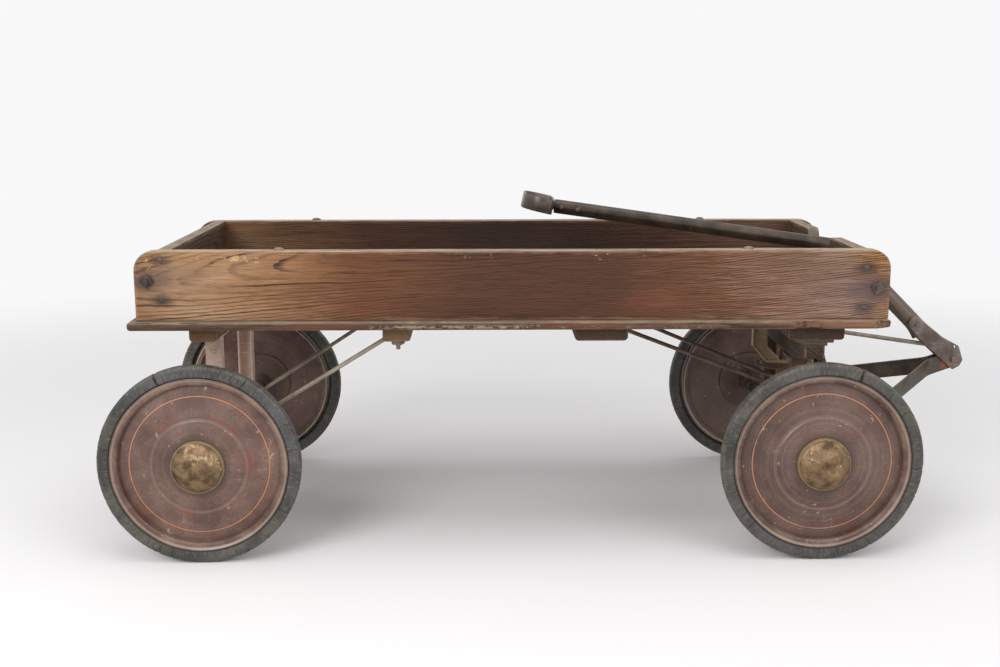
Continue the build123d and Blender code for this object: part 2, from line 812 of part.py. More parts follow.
# Fork: two plates on the sides of the neck's mouth that straddle the hounds. Each corner is
# x and z from the pivot and its radius.
fork_corners = [
    (-70.3, 52.0, 8.5),
    (-57.5, 64.8, 8.5),
    (-40.3, 49.8, 8.0),
    (-13.3, 28.2, 3.0),
    (-8.3, 26.8, 2.0),
    (5.5, 19.6, 2.0),
    (12.2, -0.6, 2.0),
    (8.1, -9.2, 2.0),
    (-1.5, -14.5, 1.5),
    (-5.2, -11.1, 1.5),
    (-50.5, 29.9, 8.0),
]
for side_name, side in sides:
    with BuildPart() as fork:
        with BuildSketch(upright(side * (fork_inner + fork_thickness / 2))):
            with BuildLine():
                FilletPolyline(
                    *[(pivot_x + x, pivot_z + z) for x, z, _ in fork_corners],
                    radius=[radius for _, _, radius in fork_corners],
                    close=True,
                )
            make_face()
            with Locations((pivot_x, pivot_z)):
                Circle(pivot_radius + running_fit, mode=Mode.SUBTRACT)
            with Locations((pivot_x + spare_hole_x, pivot_z + spare_hole_z)):
                Circle(spare_hole_radius, mode=Mode.SUBTRACT)
            with Locations([(spot.X, spot.Z) for spot in fork_rivet_spots]):
                Circle(rivet_radius + seat_fit, mode=Mode.SUBTRACT)
        extrude(amount=fork_thickness / 2, both=True)
    keep(fork, f"fork_{side_name}")

# Handle: one strap bent into a flat loop, its ends narrowed to tangs inside the tongue
tang_y = fork_inner - tongue_wall - tang_inset - strap_thickness / 2
loop_y = loop_half_width - strap_thickness / 2
loop_tilt = radians(loop_slope)
loop_plane = Plane(
    origin=tail,
    x_dir=(cos(loop_tilt), 0, -sin(loop_tilt)),
    z_dir=(sin(loop_tilt), 0, cos(loop_tilt)),
)
loop_back = -(loop_gap + loop_length)
loop_radii = [loop_foot_radius, loop_shoulder_radius, loop_corner_radius]
side_planes = [
    (loop_slope, loop_back - strap_thickness, strap_thickness - loop_gap, strap_height),
    (tongue_slope, -loop_gap, tang_length, tang_height),
]
with BuildPart() as handle_strap:
    with BuildSketch(loop_plane):
        with BuildLine():
            FilletPolyline(
                (tang_length + loop_length, tang_y),
                (-loop_gap, tang_y),
                (-loop_gap, loop_y),
                (loop_back, loop_y),
                (loop_back, -loop_y),
                (-loop_gap, -loop_y),
                (-loop_gap, -tang_y),
                (tang_length + loop_length, -tang_y),
                radius=[*loop_radii, *reversed(loop_radii)],
            )
        trace(line_width=strap_thickness)
    extrude(amount=strap_height, both=True)
    with BuildSketch(Plane(origin=tail, x_dir=(1, 0, 0), z_dir=(0, -1, 0))):
        for tilt, start, end, height in side_planes:
            lean = radians(tilt)
            middle = (start + end) / 2
            with Locations(Location((middle * cos(lean), -middle * sin(lean), 0), (0, 0, -tilt))):
                Rectangle(end - start, height)
    extrude(amount=2 * loop_half_width, both=True, mode=Mode.INTERSECT)
    with BuildSketch(Plane.XZ):
        with Locations([(spot.X, spot.Z) for spot in tail_rivets]):
            Circle(rivet_radius + seat_fit)
    extrude(amount=loop_half_width, both=True, mode=Mode.SUBTRACT)
keep(handle_strap, "handle_strap")

# Rivets through the tongue that hold the handle and the fork: name, places, outer face
rivet_sets = [
    ("handle_rivets", tail_rivets, fork_inner),
    ("fork_rivets", fork_rivet_spots, fork_outer),
]
for set_name, spots, face_y in rivet_sets:
    with BuildPart() as rivets:
        with BuildSketch(Plane.XZ):
            with Locations([(spot.X, spot.Z) for spot in spots]):
                Circle(rivet_radius)
        extrude(amount=face_y, both=True)
        for _, side in sides:
            with BuildSketch(upright(side * face_y)):
                with Locations([(spot.X, spot.Z) for spot in spots]):
                    Circle(rivet_head_radius)
            extrude(amount=-side * rivet_head_height, taper=head_taper)
    keep(rivets, set_name)
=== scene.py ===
import json
import math
import bmesh
import bpy
from mathutils import Matrix, Vector, noise

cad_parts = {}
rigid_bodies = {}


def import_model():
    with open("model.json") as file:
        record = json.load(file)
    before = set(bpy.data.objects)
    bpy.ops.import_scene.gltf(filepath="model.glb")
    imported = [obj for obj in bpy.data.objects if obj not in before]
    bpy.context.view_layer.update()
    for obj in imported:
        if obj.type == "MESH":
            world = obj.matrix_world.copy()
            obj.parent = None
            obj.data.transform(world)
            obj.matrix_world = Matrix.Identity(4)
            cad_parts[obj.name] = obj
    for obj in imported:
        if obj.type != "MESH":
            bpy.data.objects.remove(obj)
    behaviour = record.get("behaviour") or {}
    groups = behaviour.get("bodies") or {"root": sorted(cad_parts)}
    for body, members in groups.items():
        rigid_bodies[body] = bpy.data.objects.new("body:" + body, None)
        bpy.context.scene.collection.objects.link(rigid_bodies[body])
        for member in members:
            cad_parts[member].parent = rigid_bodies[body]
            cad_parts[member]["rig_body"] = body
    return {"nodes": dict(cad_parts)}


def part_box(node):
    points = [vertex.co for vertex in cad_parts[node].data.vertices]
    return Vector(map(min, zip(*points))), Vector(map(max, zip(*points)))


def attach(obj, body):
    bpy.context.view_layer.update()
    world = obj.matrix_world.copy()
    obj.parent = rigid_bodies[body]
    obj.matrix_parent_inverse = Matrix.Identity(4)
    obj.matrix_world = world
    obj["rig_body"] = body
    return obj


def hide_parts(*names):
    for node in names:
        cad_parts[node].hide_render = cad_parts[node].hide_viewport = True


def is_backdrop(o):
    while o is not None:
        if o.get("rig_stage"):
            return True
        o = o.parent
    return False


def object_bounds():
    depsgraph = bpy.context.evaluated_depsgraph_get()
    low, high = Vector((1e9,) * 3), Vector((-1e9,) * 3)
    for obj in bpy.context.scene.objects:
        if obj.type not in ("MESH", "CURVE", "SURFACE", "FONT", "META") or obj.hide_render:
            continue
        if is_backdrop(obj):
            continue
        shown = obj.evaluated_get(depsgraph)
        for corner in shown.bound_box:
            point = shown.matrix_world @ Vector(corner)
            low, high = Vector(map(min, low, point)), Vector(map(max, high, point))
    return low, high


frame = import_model()
solids_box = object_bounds()
wagon_nodes = frame["nodes"]

# Studio: the wagon stands on a plain pale floor under broad soft lamps, with nothing behind it.
# The view is square to its near side from a little above the box, through a normal lens. Away
# from the wagon the floor fades into the same white as the surroundings, so no edge shows.


def place(tree, kind, feeds=None, **settings):
    """Puts a node in a tree, makes its settings, and gives each input a value or a wire."""
    made = tree.nodes.new(kind)
    for name, value in settings.items():
        setattr(made, name, value)
    for socket, value in (feeds or {}).items():
        if isinstance(value, bpy.types.NodeSocket):
            tree.links.new(value, made.inputs[socket])
        else:
            made.inputs[socket].default_value = value
    return made


def work_out(tree, operation, *values, clamp=False):
    """The result of a sum on numbers or wires."""
    made = place(tree, "ShaderNodeMath", dict(enumerate(values)), operation=operation, use_clamp=clamp)
    return made.outputs[0]


def fade(tree, value, start, end):
    """A smooth change from 0 to 1 while the value goes from start to end."""
    made = place(
        tree,
        "ShaderNodeMapRange",
        {"Value": value, "From Min": start, "From Max": end},
        interpolation_type="SMOOTHSTEP",
    )
    return made.outputs["Result"]


def fall(tree, value, start, end):
    """A smooth change from 1 to 0 while the value goes from start to end."""
    return work_out(tree, "SUBTRACT", 1.0, fade(tree, value, start, end))


def new_finish(name):
    """Starts a material; gives it, its tree, and the place on the piece that it covers."""
    finish = bpy.data.materials.new(name)
    finish.use_nodes = True
    finish.node_tree.nodes.clear()
    here = place(finish.node_tree, "ShaderNodeTexCoord").outputs["Object"]
    return finish, finish.node_tree, here


def looked_at(tree):
    """1 where the eye, a reflection or glass sees the surroundings, 0 where they only give light."""
    rays = place(tree, "ShaderNodeLightPath").outputs
    seen = work_out(tree, "MAXIMUM", rays["Is Camera Ray"], rays["Is Glossy Ray"])
    return work_out(tree, "MAXIMUM", seen, rays["Is Transmission Ray"])


eye_point = Vector((-0.0963, -1.7699, 0.5882))
turn_to_right = 0.0129
tip_down = 0.1893
lean = -0.001
view_lens = bpy.data.cameras.new("side_view")
view_lens.lens = 46.03
view_lens.sensor_width = 36.0
side_view = bpy.data.objects.new("side_view", view_lens)
side_view.matrix_world = (
    Matrix.Translation(eye_point)
    @ Matrix.Rotation(-turn_to_right, 4, "Z")
    @ Matrix.Rotation(math.pi / 2 - tip_down, 4, "X")
    @ Matrix.Rotation(lean, 4, "Z")
)
bpy.context.scene.collection.objects.link(side_view)
bpy.context.scene.camera = side_view
bpy.context.scene.view_settings.view_transform = "Standard"

surroundings_white = (0.94, 0.94, 0.95, 1)
room_fill = 0.56
room = bpy.data.worlds.new("white_room")
bpy.context.scene.world = room
room.use_nodes = True
tree = room.node_tree
tree.nodes.clear()
seen = looked_at(tree)
lit_room = place(tree, "ShaderNodeBackground", {"Color": (1, 1, 1, 1), "Strength": room_fill})
seen_room = place(tree, "ShaderNodeBackground", {"Color": surroundings_white, "Strength": 1.0})
either = place(tree, "ShaderNodeMixShader", {0: seen, 1: lit_room.outputs[0], 2: seen_room.outputs[0]})
place(tree, "ShaderNodeOutputWorld", {"Surface": either.outputs[0]})

floor_reach = 9.0
white_from = 0.9
white_to = 2.4
floor_shape = bmesh.new()
bmesh.ops.create_circle(floor_shape, cap_ends=True, segments=96, radius=floor_reach)
floor_mesh = bpy.data.meshes.new("studio_floor")
floor_shape.to_mesh(floor_mesh)
studio_floor = bpy.data.objects.new("studio_floor", floor_mesh)
bpy.context.scene.collection.objects.link(studio_floor)
floor_paper, tree, here = new_finish("floor_paper")
reach = place(tree, "ShaderNodeVectorMath", {0: here}, operation="LENGTH").outputs["Value"]
far_white = work_out(tree, "MULTIPLY", looked_at(tree), fade(tree, reach, white_from, white_to))
paper = place(tree, "ShaderNodeBsdfDiffuse", {"Color": (0.86, 0.848, 0.85, 1)})
glow = place(tree, "ShaderNodeEmission", {"Color": surroundings_white})
sheet = place(tree, "ShaderNodeMixShader", {0: far_white, 1: paper.outputs[0], 2: glow.outputs[0]})
place(tree, "ShaderNodeOutputMaterial", {"Surface": sheet.outputs[0]})
floor_mesh.materials.append(floor_paper)
studio_floor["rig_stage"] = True

# Columns: name, place, point it faces, size, power
lamps = [
    ("front_left_lamp", (-1.5, -2.5, 1.75), (-0.1, 0, 0.2), 1.5, 50),
    ("front_right_lamp", (1.9, -2.4, 1.6), (0.1, 0, 0.2), 1.8, 20),
    ("top_lamp", (0.1, -0.5, 3.0), (0, 0, 0.2), 2.4, 32),
]
for name, stand, aim, size, power in lamps:
    lamp = bpy.data.lights.new(name, "AREA")
    lamp.size = size
    lamp.energy = power
    head = bpy.data.objects.new(name, lamp)
    head.location = stand
    head.rotation_euler = (Vector(aim) - Vector(stand)).to_track_quat("-Z", "Y").to_euler()
    bpy.context.scene.collection.objects.link(head)

# Floor: four long pine boards, planed to 11 mm with a rounded nose all round, dark stained and
# varnished once. They are nailed up from the cleats, and the side boards stand on them. Paint
# has flecked the near nose, and knocks have broken chips out of it towards the front.


def paint(red, green, blue):
    """A colour as it looks on a screen, from 0 to 255, as the linear colour that shaders take."""
    values = [value / 255 for value in (red, green, blue)]
    return (*[v / 12.92 if v <= 0.04045 else ((v + 0.055) / 1.055) ** 2.4 for v in values], 1)


def rows_between(start, end, step, low_round, high_round):
    """Places to cut a board along one axis: close together where its edges are rounded."""
    shares = [0.25, 0.55, 1.0]
    flat_start = start + low_round
    flat = end - high_round - start - low_round
    count = max(1, round(flat / step))
    even = [flat_start + flat * i / count for i in range(1, count)]
    low_cuts = [start + low_round * share for share in shares]
    high_cuts = [end - high_round * share for share in shares]
    return low_cuts + even + high_cuts


# Where two flat sides would meet, a board's edge lies this share of its round beyond the round
edge_beyond_round = 0.41


def planed_board(net, low, high, steps, round_low, round_high, shape=None):
    """Adds a board to a mesh as a closed net with rounded edges, its points then moved by a rule.

    The rule gets a point, how far it lay into the rounds each way, and its share of a whole edge.
    """
    made = bmesh.ops.create_cube(net, size=1)
    points = made["verts"]
    for point in points:
        point.co = Vector([(low[i] + high[i]) / 2 + point.co[i] * (high[i] - low[i]) for i in range(3)])
    parts = set(points)
    for axis in range(3):
        for at in rows_between(low[axis], high[axis], steps[axis], round_low[axis], round_high[axis]):
            spot = Vector(low)
            spot[axis] = at
            way = Vector((0, 0, 0))
            way[axis] = 1
            geometry = list(parts) + list({e for p in parts for e in p.link_edges})
            geometry += list({f for p in parts for f in p.link_faces})
            cut = bmesh.ops.bisect_plane(net, geom=geometry, plane_co=spot, plane_no=way)
            parts.update(item for item in cut["geom_cut"] if isinstance(item, bmesh.types.BMVert))
    for point in parts:
        rounded = Vector(point.co)
        offsets = [0.0, 0.0, 0.0]
        for i in range(3):
            if rounded[i] < low[i] + round_low[i]:
                offsets[i] = (rounded[i] - low[i] - round_low[i]) / round_low[i]
            elif rounded[i] > high[i] - round_high[i]:
                offsets[i] = (rounded[i] - high[i] + round_high[i]) / round_high[i]
        reach = Vector(offsets).length
        edge = min(1, max(0, (reach - 1) / edge_beyond_round))
        if reach > 1:
            for i in range(3):
                room = round_low[i] if offsets[i] < 0 else round_high[i]
                rounded[i] += (offsets[i] / reach - offsets[i]) * room
        point.co = shape(rounded, Vector(offsets), edge) if shape else rounded


def joinery(net, name, finish, body, slot, *stands_for, sharp=40):
    """Makes a mesh into a finished piece of the wagon."""
    bmesh.ops.recalc_face_normals(net, faces=net.faces)
    mesh = bpy.data.meshes.new(name)
    net.to_mesh(mesh)
    net.free()
    mesh.shade_smooth()
    mesh.set_sharp_from_angle(angle=math.radians(sharp))
    mesh.materials.append(finish)
    piece = bpy.data.objects.new(name, mesh)
    bpy.context.scene.collection.objects.link(piece)
    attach(piece, body)
    if stands_for:
        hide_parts(*stands_for)
    return piece


def effect(name, inputs, outputs):
    """Starts a shader effect that several finishes share; gives its tree, its inputs and its end."""
    tree = bpy.data.node_groups.new(name, "ShaderNodeTree")
    for title, value in inputs.items():
        kind = "NodeSocketVector" if isinstance(value, tuple) else "NodeSocketFloat"
        tree.interface.new_socket(title, in_out="INPUT", socket_type=kind).default_value = value
    for title in outputs:
        tree.interface.new_socket(title, in_out="OUTPUT", socket_type="NodeSocketFloat")
    return tree, tree.nodes.new("NodeGroupInput").outputs, tree.nodes.new("NodeGroupOutput").inputs


def use(tree, group, **feeds):
    """Places a shared effect in a finish; an input's name has underscores for its spaces."""
    named = {title.replace("_", " "): value for title, value in feeds.items()}
    return place(tree, "ShaderNodeGroup", named, node_tree=group).outputs


def work_out_place(tree, operation, one, other):
    """The result of a sum on two places."""
    return place(tree, "ShaderNodeVectorMath", {0: one, 1: other}, operation=operation).outputs[0]


def stretch(tree, spot, along, across, through):
    """A place scaled by its own amount each way, so that a pattern draws out along the grain."""
    return work_out_place(tree, "MULTIPLY", spot, (along, across, through))


def cloud(tree, spot, scale, detail=3.0, roughness=0.55):
    """Soft random values about one half."""
    feeds = {"Vector": spot, "Scale": scale, "Detail": detail, "Roughness": roughness}
    return place(tree, "ShaderNodeTexNoise", feeds).outputs[0]


def blend(tree, share, one, other, how="MIX"):
    """Mixes two colours."""
    feeds = {0: share, 6: one, 7: other}
    return place(tree, "ShaderNodeMix", feeds, data_type="RGBA", blend_type=how).outputs[2]


def laid(tree, colour, mask, share, shade):
    """Lays a shade over a colour where a mask says, and up to a share."""
    return blend(tree, work_out(tree, "MULTIPLY", mask, share), colour, shade)


def parts_of(tree, spot):
    """A place's three numbers."""
    return place(tree, "ShaderNodeSeparateXYZ", {0: spot}).outputs


def tones_along(tree, value, stops):
    """Colours that change along a value from 0 to 1."""
    made = place(tree, "ShaderNodeValToRGB", {"Fac": value})
    band = made.color_ramp.elements
    band.remove(band[1])
    band[0].position = stops[0][0]
    band[0].color = stops[0][1]
    for at, colour in stops[1:]:
        band.new(at).color = colour
    return made.outputs["Color"]


growth_rings, given, leave = effect(
    "growth_rings",
    {"Spot": (0.0, 0.0, 0.0), "Heart": 0.0, "Depth": 0.05, "Spacing": 0.003, "Warp": 0.02},
    ["Late Wood", "Tone"],
)
tree = growth_rings
spot = parts_of(tree, given["Spot"])
drift = work_out(tree, "SUBTRACT", cloud(tree, stretch(tree, given["Spot"], 2.6, 9, 9), 1.0, 2.0), 0.5)
wander = work_out(tree, "SUBTRACT", cloud(tree, stretch(tree, given["Spot"], 16, 70, 70), 1.0, 3.0), 0.5)
across = work_out(tree, "SUBTRACT", spot[2], given["Heart"])
across = work_out(tree, "MULTIPLY_ADD", drift, given["Warp"], across)
depth = work_out(tree, "ADD", spot[1], given["Depth"])
squares = work_out(tree, "MULTIPLY", across, across), work_out(tree, "MULTIPLY", depth, depth)
radius = work_out(tree, "SQRT", work_out(tree, "ADD", *squares))
ring = work_out(tree, "MULTIPLY_ADD", wander, 1.1, work_out(tree, "DIVIDE", radius, given["Spacing"]))
phase = work_out(tree, "FRACT", ring)
whole_ring = work_out(tree, "FLOOR", ring)
year = place(tree, "ShaderNodeTexWhiteNoise", {"W": whole_ring}, noise_dimensions="1D").outputs[0]
late = work_out(tree, "MULTIPLY", fade(tree, phase, 0.5, 0.84), fall(tree, phase, 0.92, 1.0))
late = work_out(tree, "MULTIPLY", late, work_out(tree, "MULTIPLY_ADD", year, 0.65, 0.35))
tree.links.new(late, leave["Late Wood"])
tone = work_out(tree, "MULTIPLY_ADD", year, 0.5, work_out(tree, "MULTIPLY", phase, 0.5))
tree.links.new(tone, leave["Tone"])

wood_fibres, given, leave = effect("wood_fibres", {"Spot": (0.0, 0.0, 0.0)}, ["Fibre", "Pores"])
tree = wood_fibres
fibre = cloud(tree, stretch(tree, given["Spot"], 13, 480, 480), 1.0, 5.0, 0.7)
pores = cloud(tree, stretch(tree, given["Spot"], 42, 760, 760), 1.0, 3.0, 0.7)
tree.links.new(fibre, leave["Fibre"])
tree.links.new(fade(tree, pores, 0.54, 0.68), leave["Pores"])

edge_rub, given, leave = effect(
    "edge_rub", {"Low": (0.0, 0.0, 0.0), "High": (1.0, 1.0, 1.0), "Reach": 0.004}, ["Rubbed"]
)
tree = edge_rub
here = place(tree, "ShaderNodeTexCoord").outputs["Object"]
under = work_out_place(tree, "SUBTRACT", here, given["Low"])
over = work_out_place(tree, "SUBTRACT", given["High"], here)
inside = parts_of(tree, work_out_place(tree, "MINIMUM", under, over))
total = work_out(tree, "ADD", work_out(tree, "ADD", inside[0], inside[1]), inside[2])
least = work_out(tree, "MINIMUM", work_out(tree, "MINIMUM", inside[0], inside[1]), inside[2])
most = work_out(tree, "MAXIMUM", work_out(tree, "MAXIMUM", inside[0], inside[1]), inside[2])
middle = work_out(tree, "SUBTRACT", work_out(tree, "SUBTRACT", total, least), most)
uneven = work_out(tree, "MULTIPLY", cloud(tree, here, 45, 4.0), 2.2)
uneven = work_out(tree, "MULTIPLY", given["Reach"], uneven)
tree.links.new(fall(tree, middle, 0.0, uneven), leave["Rubbed"])

iron_stain, given, leave = effect(
    "iron_stain", {"Spot": (0.0, 0.0, 0.0), "Place": (0.0, 0.0, 0.0), "Reach": 0.02}, ["Stain"]
)
tree = iron_stain
away = work_out_place(tree, "SUBTRACT", given["Spot"], given["Place"])
away = stretch(tree, away, 0.5, 1, 1)
away = place(tree, "ShaderNodeVectorMath", {0: away}, operation="LENGTH").outputs["Value"]
ragged = cloud(tree, stretch(tree, given["Spot"], 25, 120, 120), 1.0, 3.0)
ragged = work_out(tree, "MULTIPLY_ADD", ragged, 0.9, 0.5)
away = work_out(tree, "DIVIDE", away, work_out(tree, "MULTIPLY", given["Reach"], ragged))
tree.links.new(fall(tree, away, 0.1, 1.0), leave["Stain"])

flaked_paint, given, leave = effect(
    "flaked_paint",
    {"Spot": (0.0, 0.0, 0.0), "Low": (0.0, 0.0, 0.0), "High": (1.0, 1.0, 1.0), "Amount": 0.4},
    ["Flecks"],
)
tree = flaked_paint
below = parts_of(tree, work_out_place(tree, "SUBTRACT", given["Spot"], given["Low"]))
above = parts_of(tree, work_out_place(tree, "SUBTRACT", given["High"], given["Spot"]))
within = 1.0
for side in (*below[:3], *above[:3]):
    within = work_out(tree, "MULTIPLY", within, fade(tree, side, -0.001, 0.004))
flake = cloud(tree, stretch(tree, given["Spot"], 170, 380, 380), 1.0, 5.0, 0.7)
sparse = cloud(tree, given["Spot"], 30, 2.0)
level = work_out(tree, "SUBTRACT", 1.05, given["Amount"])
flake = work_out(tree, "MULTIPLY_ADD", work_out(tree, "SUBTRACT", sparse, 0.5), 0.35, flake)
flake = fade(tree, flake, level, work_out(tree, "ADD", level, 0.04))
tree.links.new(work_out(tree, "MULTIPLY", flake, within), leave["Flecks"])

settled_dust, given, leave = effect("settled_dust", {"Amount": 0.5}, ["Dust"])
tree = settled_dust
facing = parts_of(tree, place(tree, "ShaderNodeNewGeometry").outputs["Normal"])[2]
here = place(tree, "ShaderNodeTexCoord").outputs["Object"]
caught = fade(tree, cloud(tree, stretch(tree, here, 30, 90, 90), 1.0, 6.0, 0.7), 0.1, 0.9)
caught = work_out(tree, "MULTIPLY", fade(tree, facing, 0.1, 1.0), caught)
tree.links.new(work_out(tree, "MULTIPLY", caught, given["Amount"]), leave["Dust"])


def darker(tree, share, colour, factors):
    """Multiplies a colour by three factors, as far as a share says."""
    return blend(tree, share, colour, blend(tree, 1.0, colour, (*factors, 1), "MULTIPLY"))


def coated(tree, colour, dull, height, strength, depth, **others):
    """Ends a finish: one coat with this colour, dullness and relief."""
    feeds = {"Strength": strength, "Distance": depth, "Height": height}
    relief = place(tree, "ShaderNodeBump", feeds).outputs[0]
    feeds = {"Base Color": colour, "Roughness": dull, "Normal": relief}
    feeds.update({title.replace("_", " "): value for title, value in others.items()})
    coat = place(tree, "ShaderNodeBsdfPrincipled", feeds)
    place(tree, "ShaderNodeOutputMaterial", {"Surface": coat.outputs[0]})


even_grain = [(0.0, 0.75, 0.0), (1.0, 0.75, 0.0)]


def old_wood(
    name,
    low,
    high,
    way,
    tones,
    late_tone,
    rings,
    grain=even_grain,
    rub=0.004,
    shine=0.5,
    dust=0.0,
    inside=None,
    stains=(),
    blanks=(),
    flecks=(),
):
    """Stained and varnished boards gone dull: the finish of everything wooden on the wagon.

    way is the axis that the grain follows, tones the colours along it, rings the heart's height
    over the board's foot and its depth behind the board at both ends, then spacing and warp. grain
    says how dark the lines and how silvery the open fibres are along the board. blanks are places
    without lines, stains and flecks are places with a colour, and inside is where a board's hidden
    inner face begins to be darkened with painted shade.
    """
    finish, tree, here = new_finish(name)
    axes = parts_of(tree, here)
    spot = here
    if way == 1:
        spot = place(tree, "ShaderNodeCombineXYZ", {0: axes[1], 1: axes[0], 2: axes[2]}).outputs[0]
    along = place(
        tree, "ShaderNodeMapRange", {"Value": axes[way], "From Min": low[way], "From Max": high[way]}
    ).outputs["Result"]
    heart_start, heart_end, depth_start, depth_end, spacing, warp = rings
    middle = (low[1 - way] + high[1 - way]) / 2
    heart = work_out(tree, "MULTIPLY_ADD", along, heart_end - heart_start, low[2] + heart_start)
    depth = work_out(tree, "MULTIPLY_ADD", along, depth_end - depth_start, depth_start - middle)
    grown = use(tree, growth_rings, Spot=spot, Heart=heart, Depth=depth, Spacing=spacing, Warp=warp)
    fine = use(tree, wood_fibres, Spot=spot)
    # Colour along the board, uneven in patches, years and fine streaks
    patch = cloud(tree, stretch(tree, spot, 5, 22, 22), 1.0, 3.0)
    uneven = work_out(tree, "MULTIPLY_ADD", patch, 0.16, work_out(tree, "SUBTRACT", along, 0.08))
    colour = tones_along(tree, uneven, tones)
    colour = darker(tree, fade(tree, patch, 0.4, 0.8), colour, (0.78, 0.74, 0.7))
    colour = darker(tree, work_out(tree, "MULTIPLY", grown["Tone"], 0.3), colour, (1.5, 1.4, 1.3))
    streak = fade(tree, fine["Fibre"], 0.32, 0.7)
    colour = darker(tree, work_out(tree, "MULTIPLY", streak, 0.62), colour, (0.5, 0.44, 0.4))
    # Dark lines of late wood, broken by the fibres and left out at the plain places
    lines = work_out(
        tree,
        "MULTIPLY",
        grown["Late Wood"],
        tones_along(tree, along, [(at, (dark, dark, dark, 1)) for at, dark, pale in grain]),
    )
    for x, y, z, reach in blanks:
        blank = use(tree, iron_stain, Spot=here, Place=(x, y, z), Reach=reach)["Stain"]
        lines = work_out(tree, "MULTIPLY", lines, work_out(tree, "SUBTRACT", 1.0, blank))
    broken = work_out(tree, "MULTIPLY_ADD", fine["Fibre"], 1.6, 0.5)
    lines = work_out(tree, "MULTIPLY", lines, broken, clamp=True)
    colour = blend(tree, lines, colour, late_tone)
    # Silvery open fibres, dark pores and edges rubbed bare
    silver = work_out(
        tree,
        "MULTIPLY",
        fall(tree, fine["Fibre"], 0.36, 0.5),
        tones_along(tree, along, [(at, (pale, pale, pale, 1)) for at, dark, pale in grain]),
    )
    colour = blend(tree, silver, colour, paint(186, 160, 138))
    colour = darker(tree, work_out(tree, "MULTIPLY", fine["Pores"], 0.6), colour, (0.3, 0.26, 0.24))
    worn = use(tree, edge_rub, Low=low, High=high, Reach=rub)["Rubbed"]
    bared = blend(tree, streak, paint(184, 156, 126), paint(118, 90, 66))
    colour = laid(tree, colour, worn, 0.55, bared)
    # Painted shade on the hidden inner face, then stains, flecks of paint and dust
    if inside:
        within = fade(tree, axes[1], *inside)
        colour = darker(tree, within, colour, (0.40, 0.34, 0.28))
    for x, y, z, reach, strength, shade in stains:
        stain = use(tree, iron_stain, Spot=here, Place=(x, y, z), Reach=reach)["Stain"]
        colour = laid(tree, colour, stain, strength, shade)
    raised = work_out(tree, "MULTIPLY", grown["Late Wood"], 0.7)
    for least, largest, amount, shade in flecks:
        fleck = use(tree, flaked_paint, Spot=here, Low=least, High=largest, Amount=amount)["Flecks"]
        colour = laid(tree, colour, fleck, 0.8, shade)
        raised = work_out(tree, "MULTIPLY_ADD", fleck, 0.9, raised)
    if dust:
        dusty = use(tree, settled_dust, Amount=dust)["Dust"]
        colour = blend(tree, dusty, colour, paint(196, 180, 160))
    height = work_out(tree, "MULTIPLY_ADD", streak, -0.5, raised)
    height = work_out(tree, "MULTIPLY_ADD", fine["Pores"], -0.6, height)
    dull = work_out(tree, "MULTIPLY_ADD", streak, 0.2, shine)
    dull = work_out(tree, "MULTIPLY_ADD", worn, 0.15, dull)
    coated(tree, colour, dull, height, 0.5, 0.0008, Specular_IOR_Level=0.3)
    return finish


floor_low, floor_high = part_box("floor_boards")
floor_board_count = 4
floor_joint = 0.0008
nose = 0.0035
joint_round = 0.0008
# Columns: x, z, reach, depth of each chip knocked out of the near nose
nose_chips = [
    (0.303, 0.296, 0.010, 0.0060),
    (0.316, 0.294, 0.013, 0.0075),
    (0.405, 0.298, 0.010, 0.0060),
    (0.411, 0.293, 0.008, 0.0070),
    (-0.513, 0.300, 0.006, 0.0020),
]
chip_reach = 0.012
chip_edge = 0.004
# Columns: place along the board from 0 to 1, colour there
floor_tones = [
    (0.0, paint(84, 61, 45)),
    (0.25, paint(80, 55, 39)),
    (0.5, paint(78, 53, 37)),
    (0.75, paint(102, 75, 56)),
    (1.0, paint(132, 102, 80)),
]
# Columns: x, y, z, reach, strength, colour of each stain
floor_stains = [
    (-0.30, floor_low.y, 0.297, 0.05, 0.3, paint(112, 62, 46)),
    (0.02, floor_low.y, 0.294, 0.05, 0.3, paint(120, 68, 44)),
    (0.34, floor_low.y, 0.300, 0.05, 0.3, paint(126, 78, 54)),
]
# Columns: two corners of the flecked stretch, amount, colour
floor_flecks = [
    ((-0.24, -0.21, 0.2930), (-0.02, -0.2022, 0.2995), 0.58, paint(206, 192, 166)),
    ((-0.10, -0.21, 0.2930), (0.20, -0.2022, 0.2975), 0.50, paint(200, 184, 156)),
    ((-0.38, -0.21, 0.2915), (0.10, -0.2022, 0.2960), 0.46, paint(126, 72, 50)),
]


def knocked_nose(point, offsets, edge):
    """Wears the floor's nose unevenly and breaks the chips out of its near side."""
    wear = max(0, noise.noise(point * 35)) * 0.0016 + max(0, noise.noise(point * 140)) * 0.0008
    moved = Vector(point)
    if offsets.length > 1:
        moved -= Vector((offsets.x, offsets.y, offsets.z)).normalized() * wear * edge
    if point.y < floor_low.y + chip_reach:
        for x, z, reach, depth in nose_chips:
            away = Vector((point.x - x, (point.z - z) * 0.8)).length / reach
            if away < 1:
                ragged = 0.75 + 0.6 * noise.noise(point * 400)
                fading = min(1, (floor_low.y + chip_reach - point.y) / chip_edge)
                moved.y += depth * (1 - away**2) * ragged * fading
    return moved


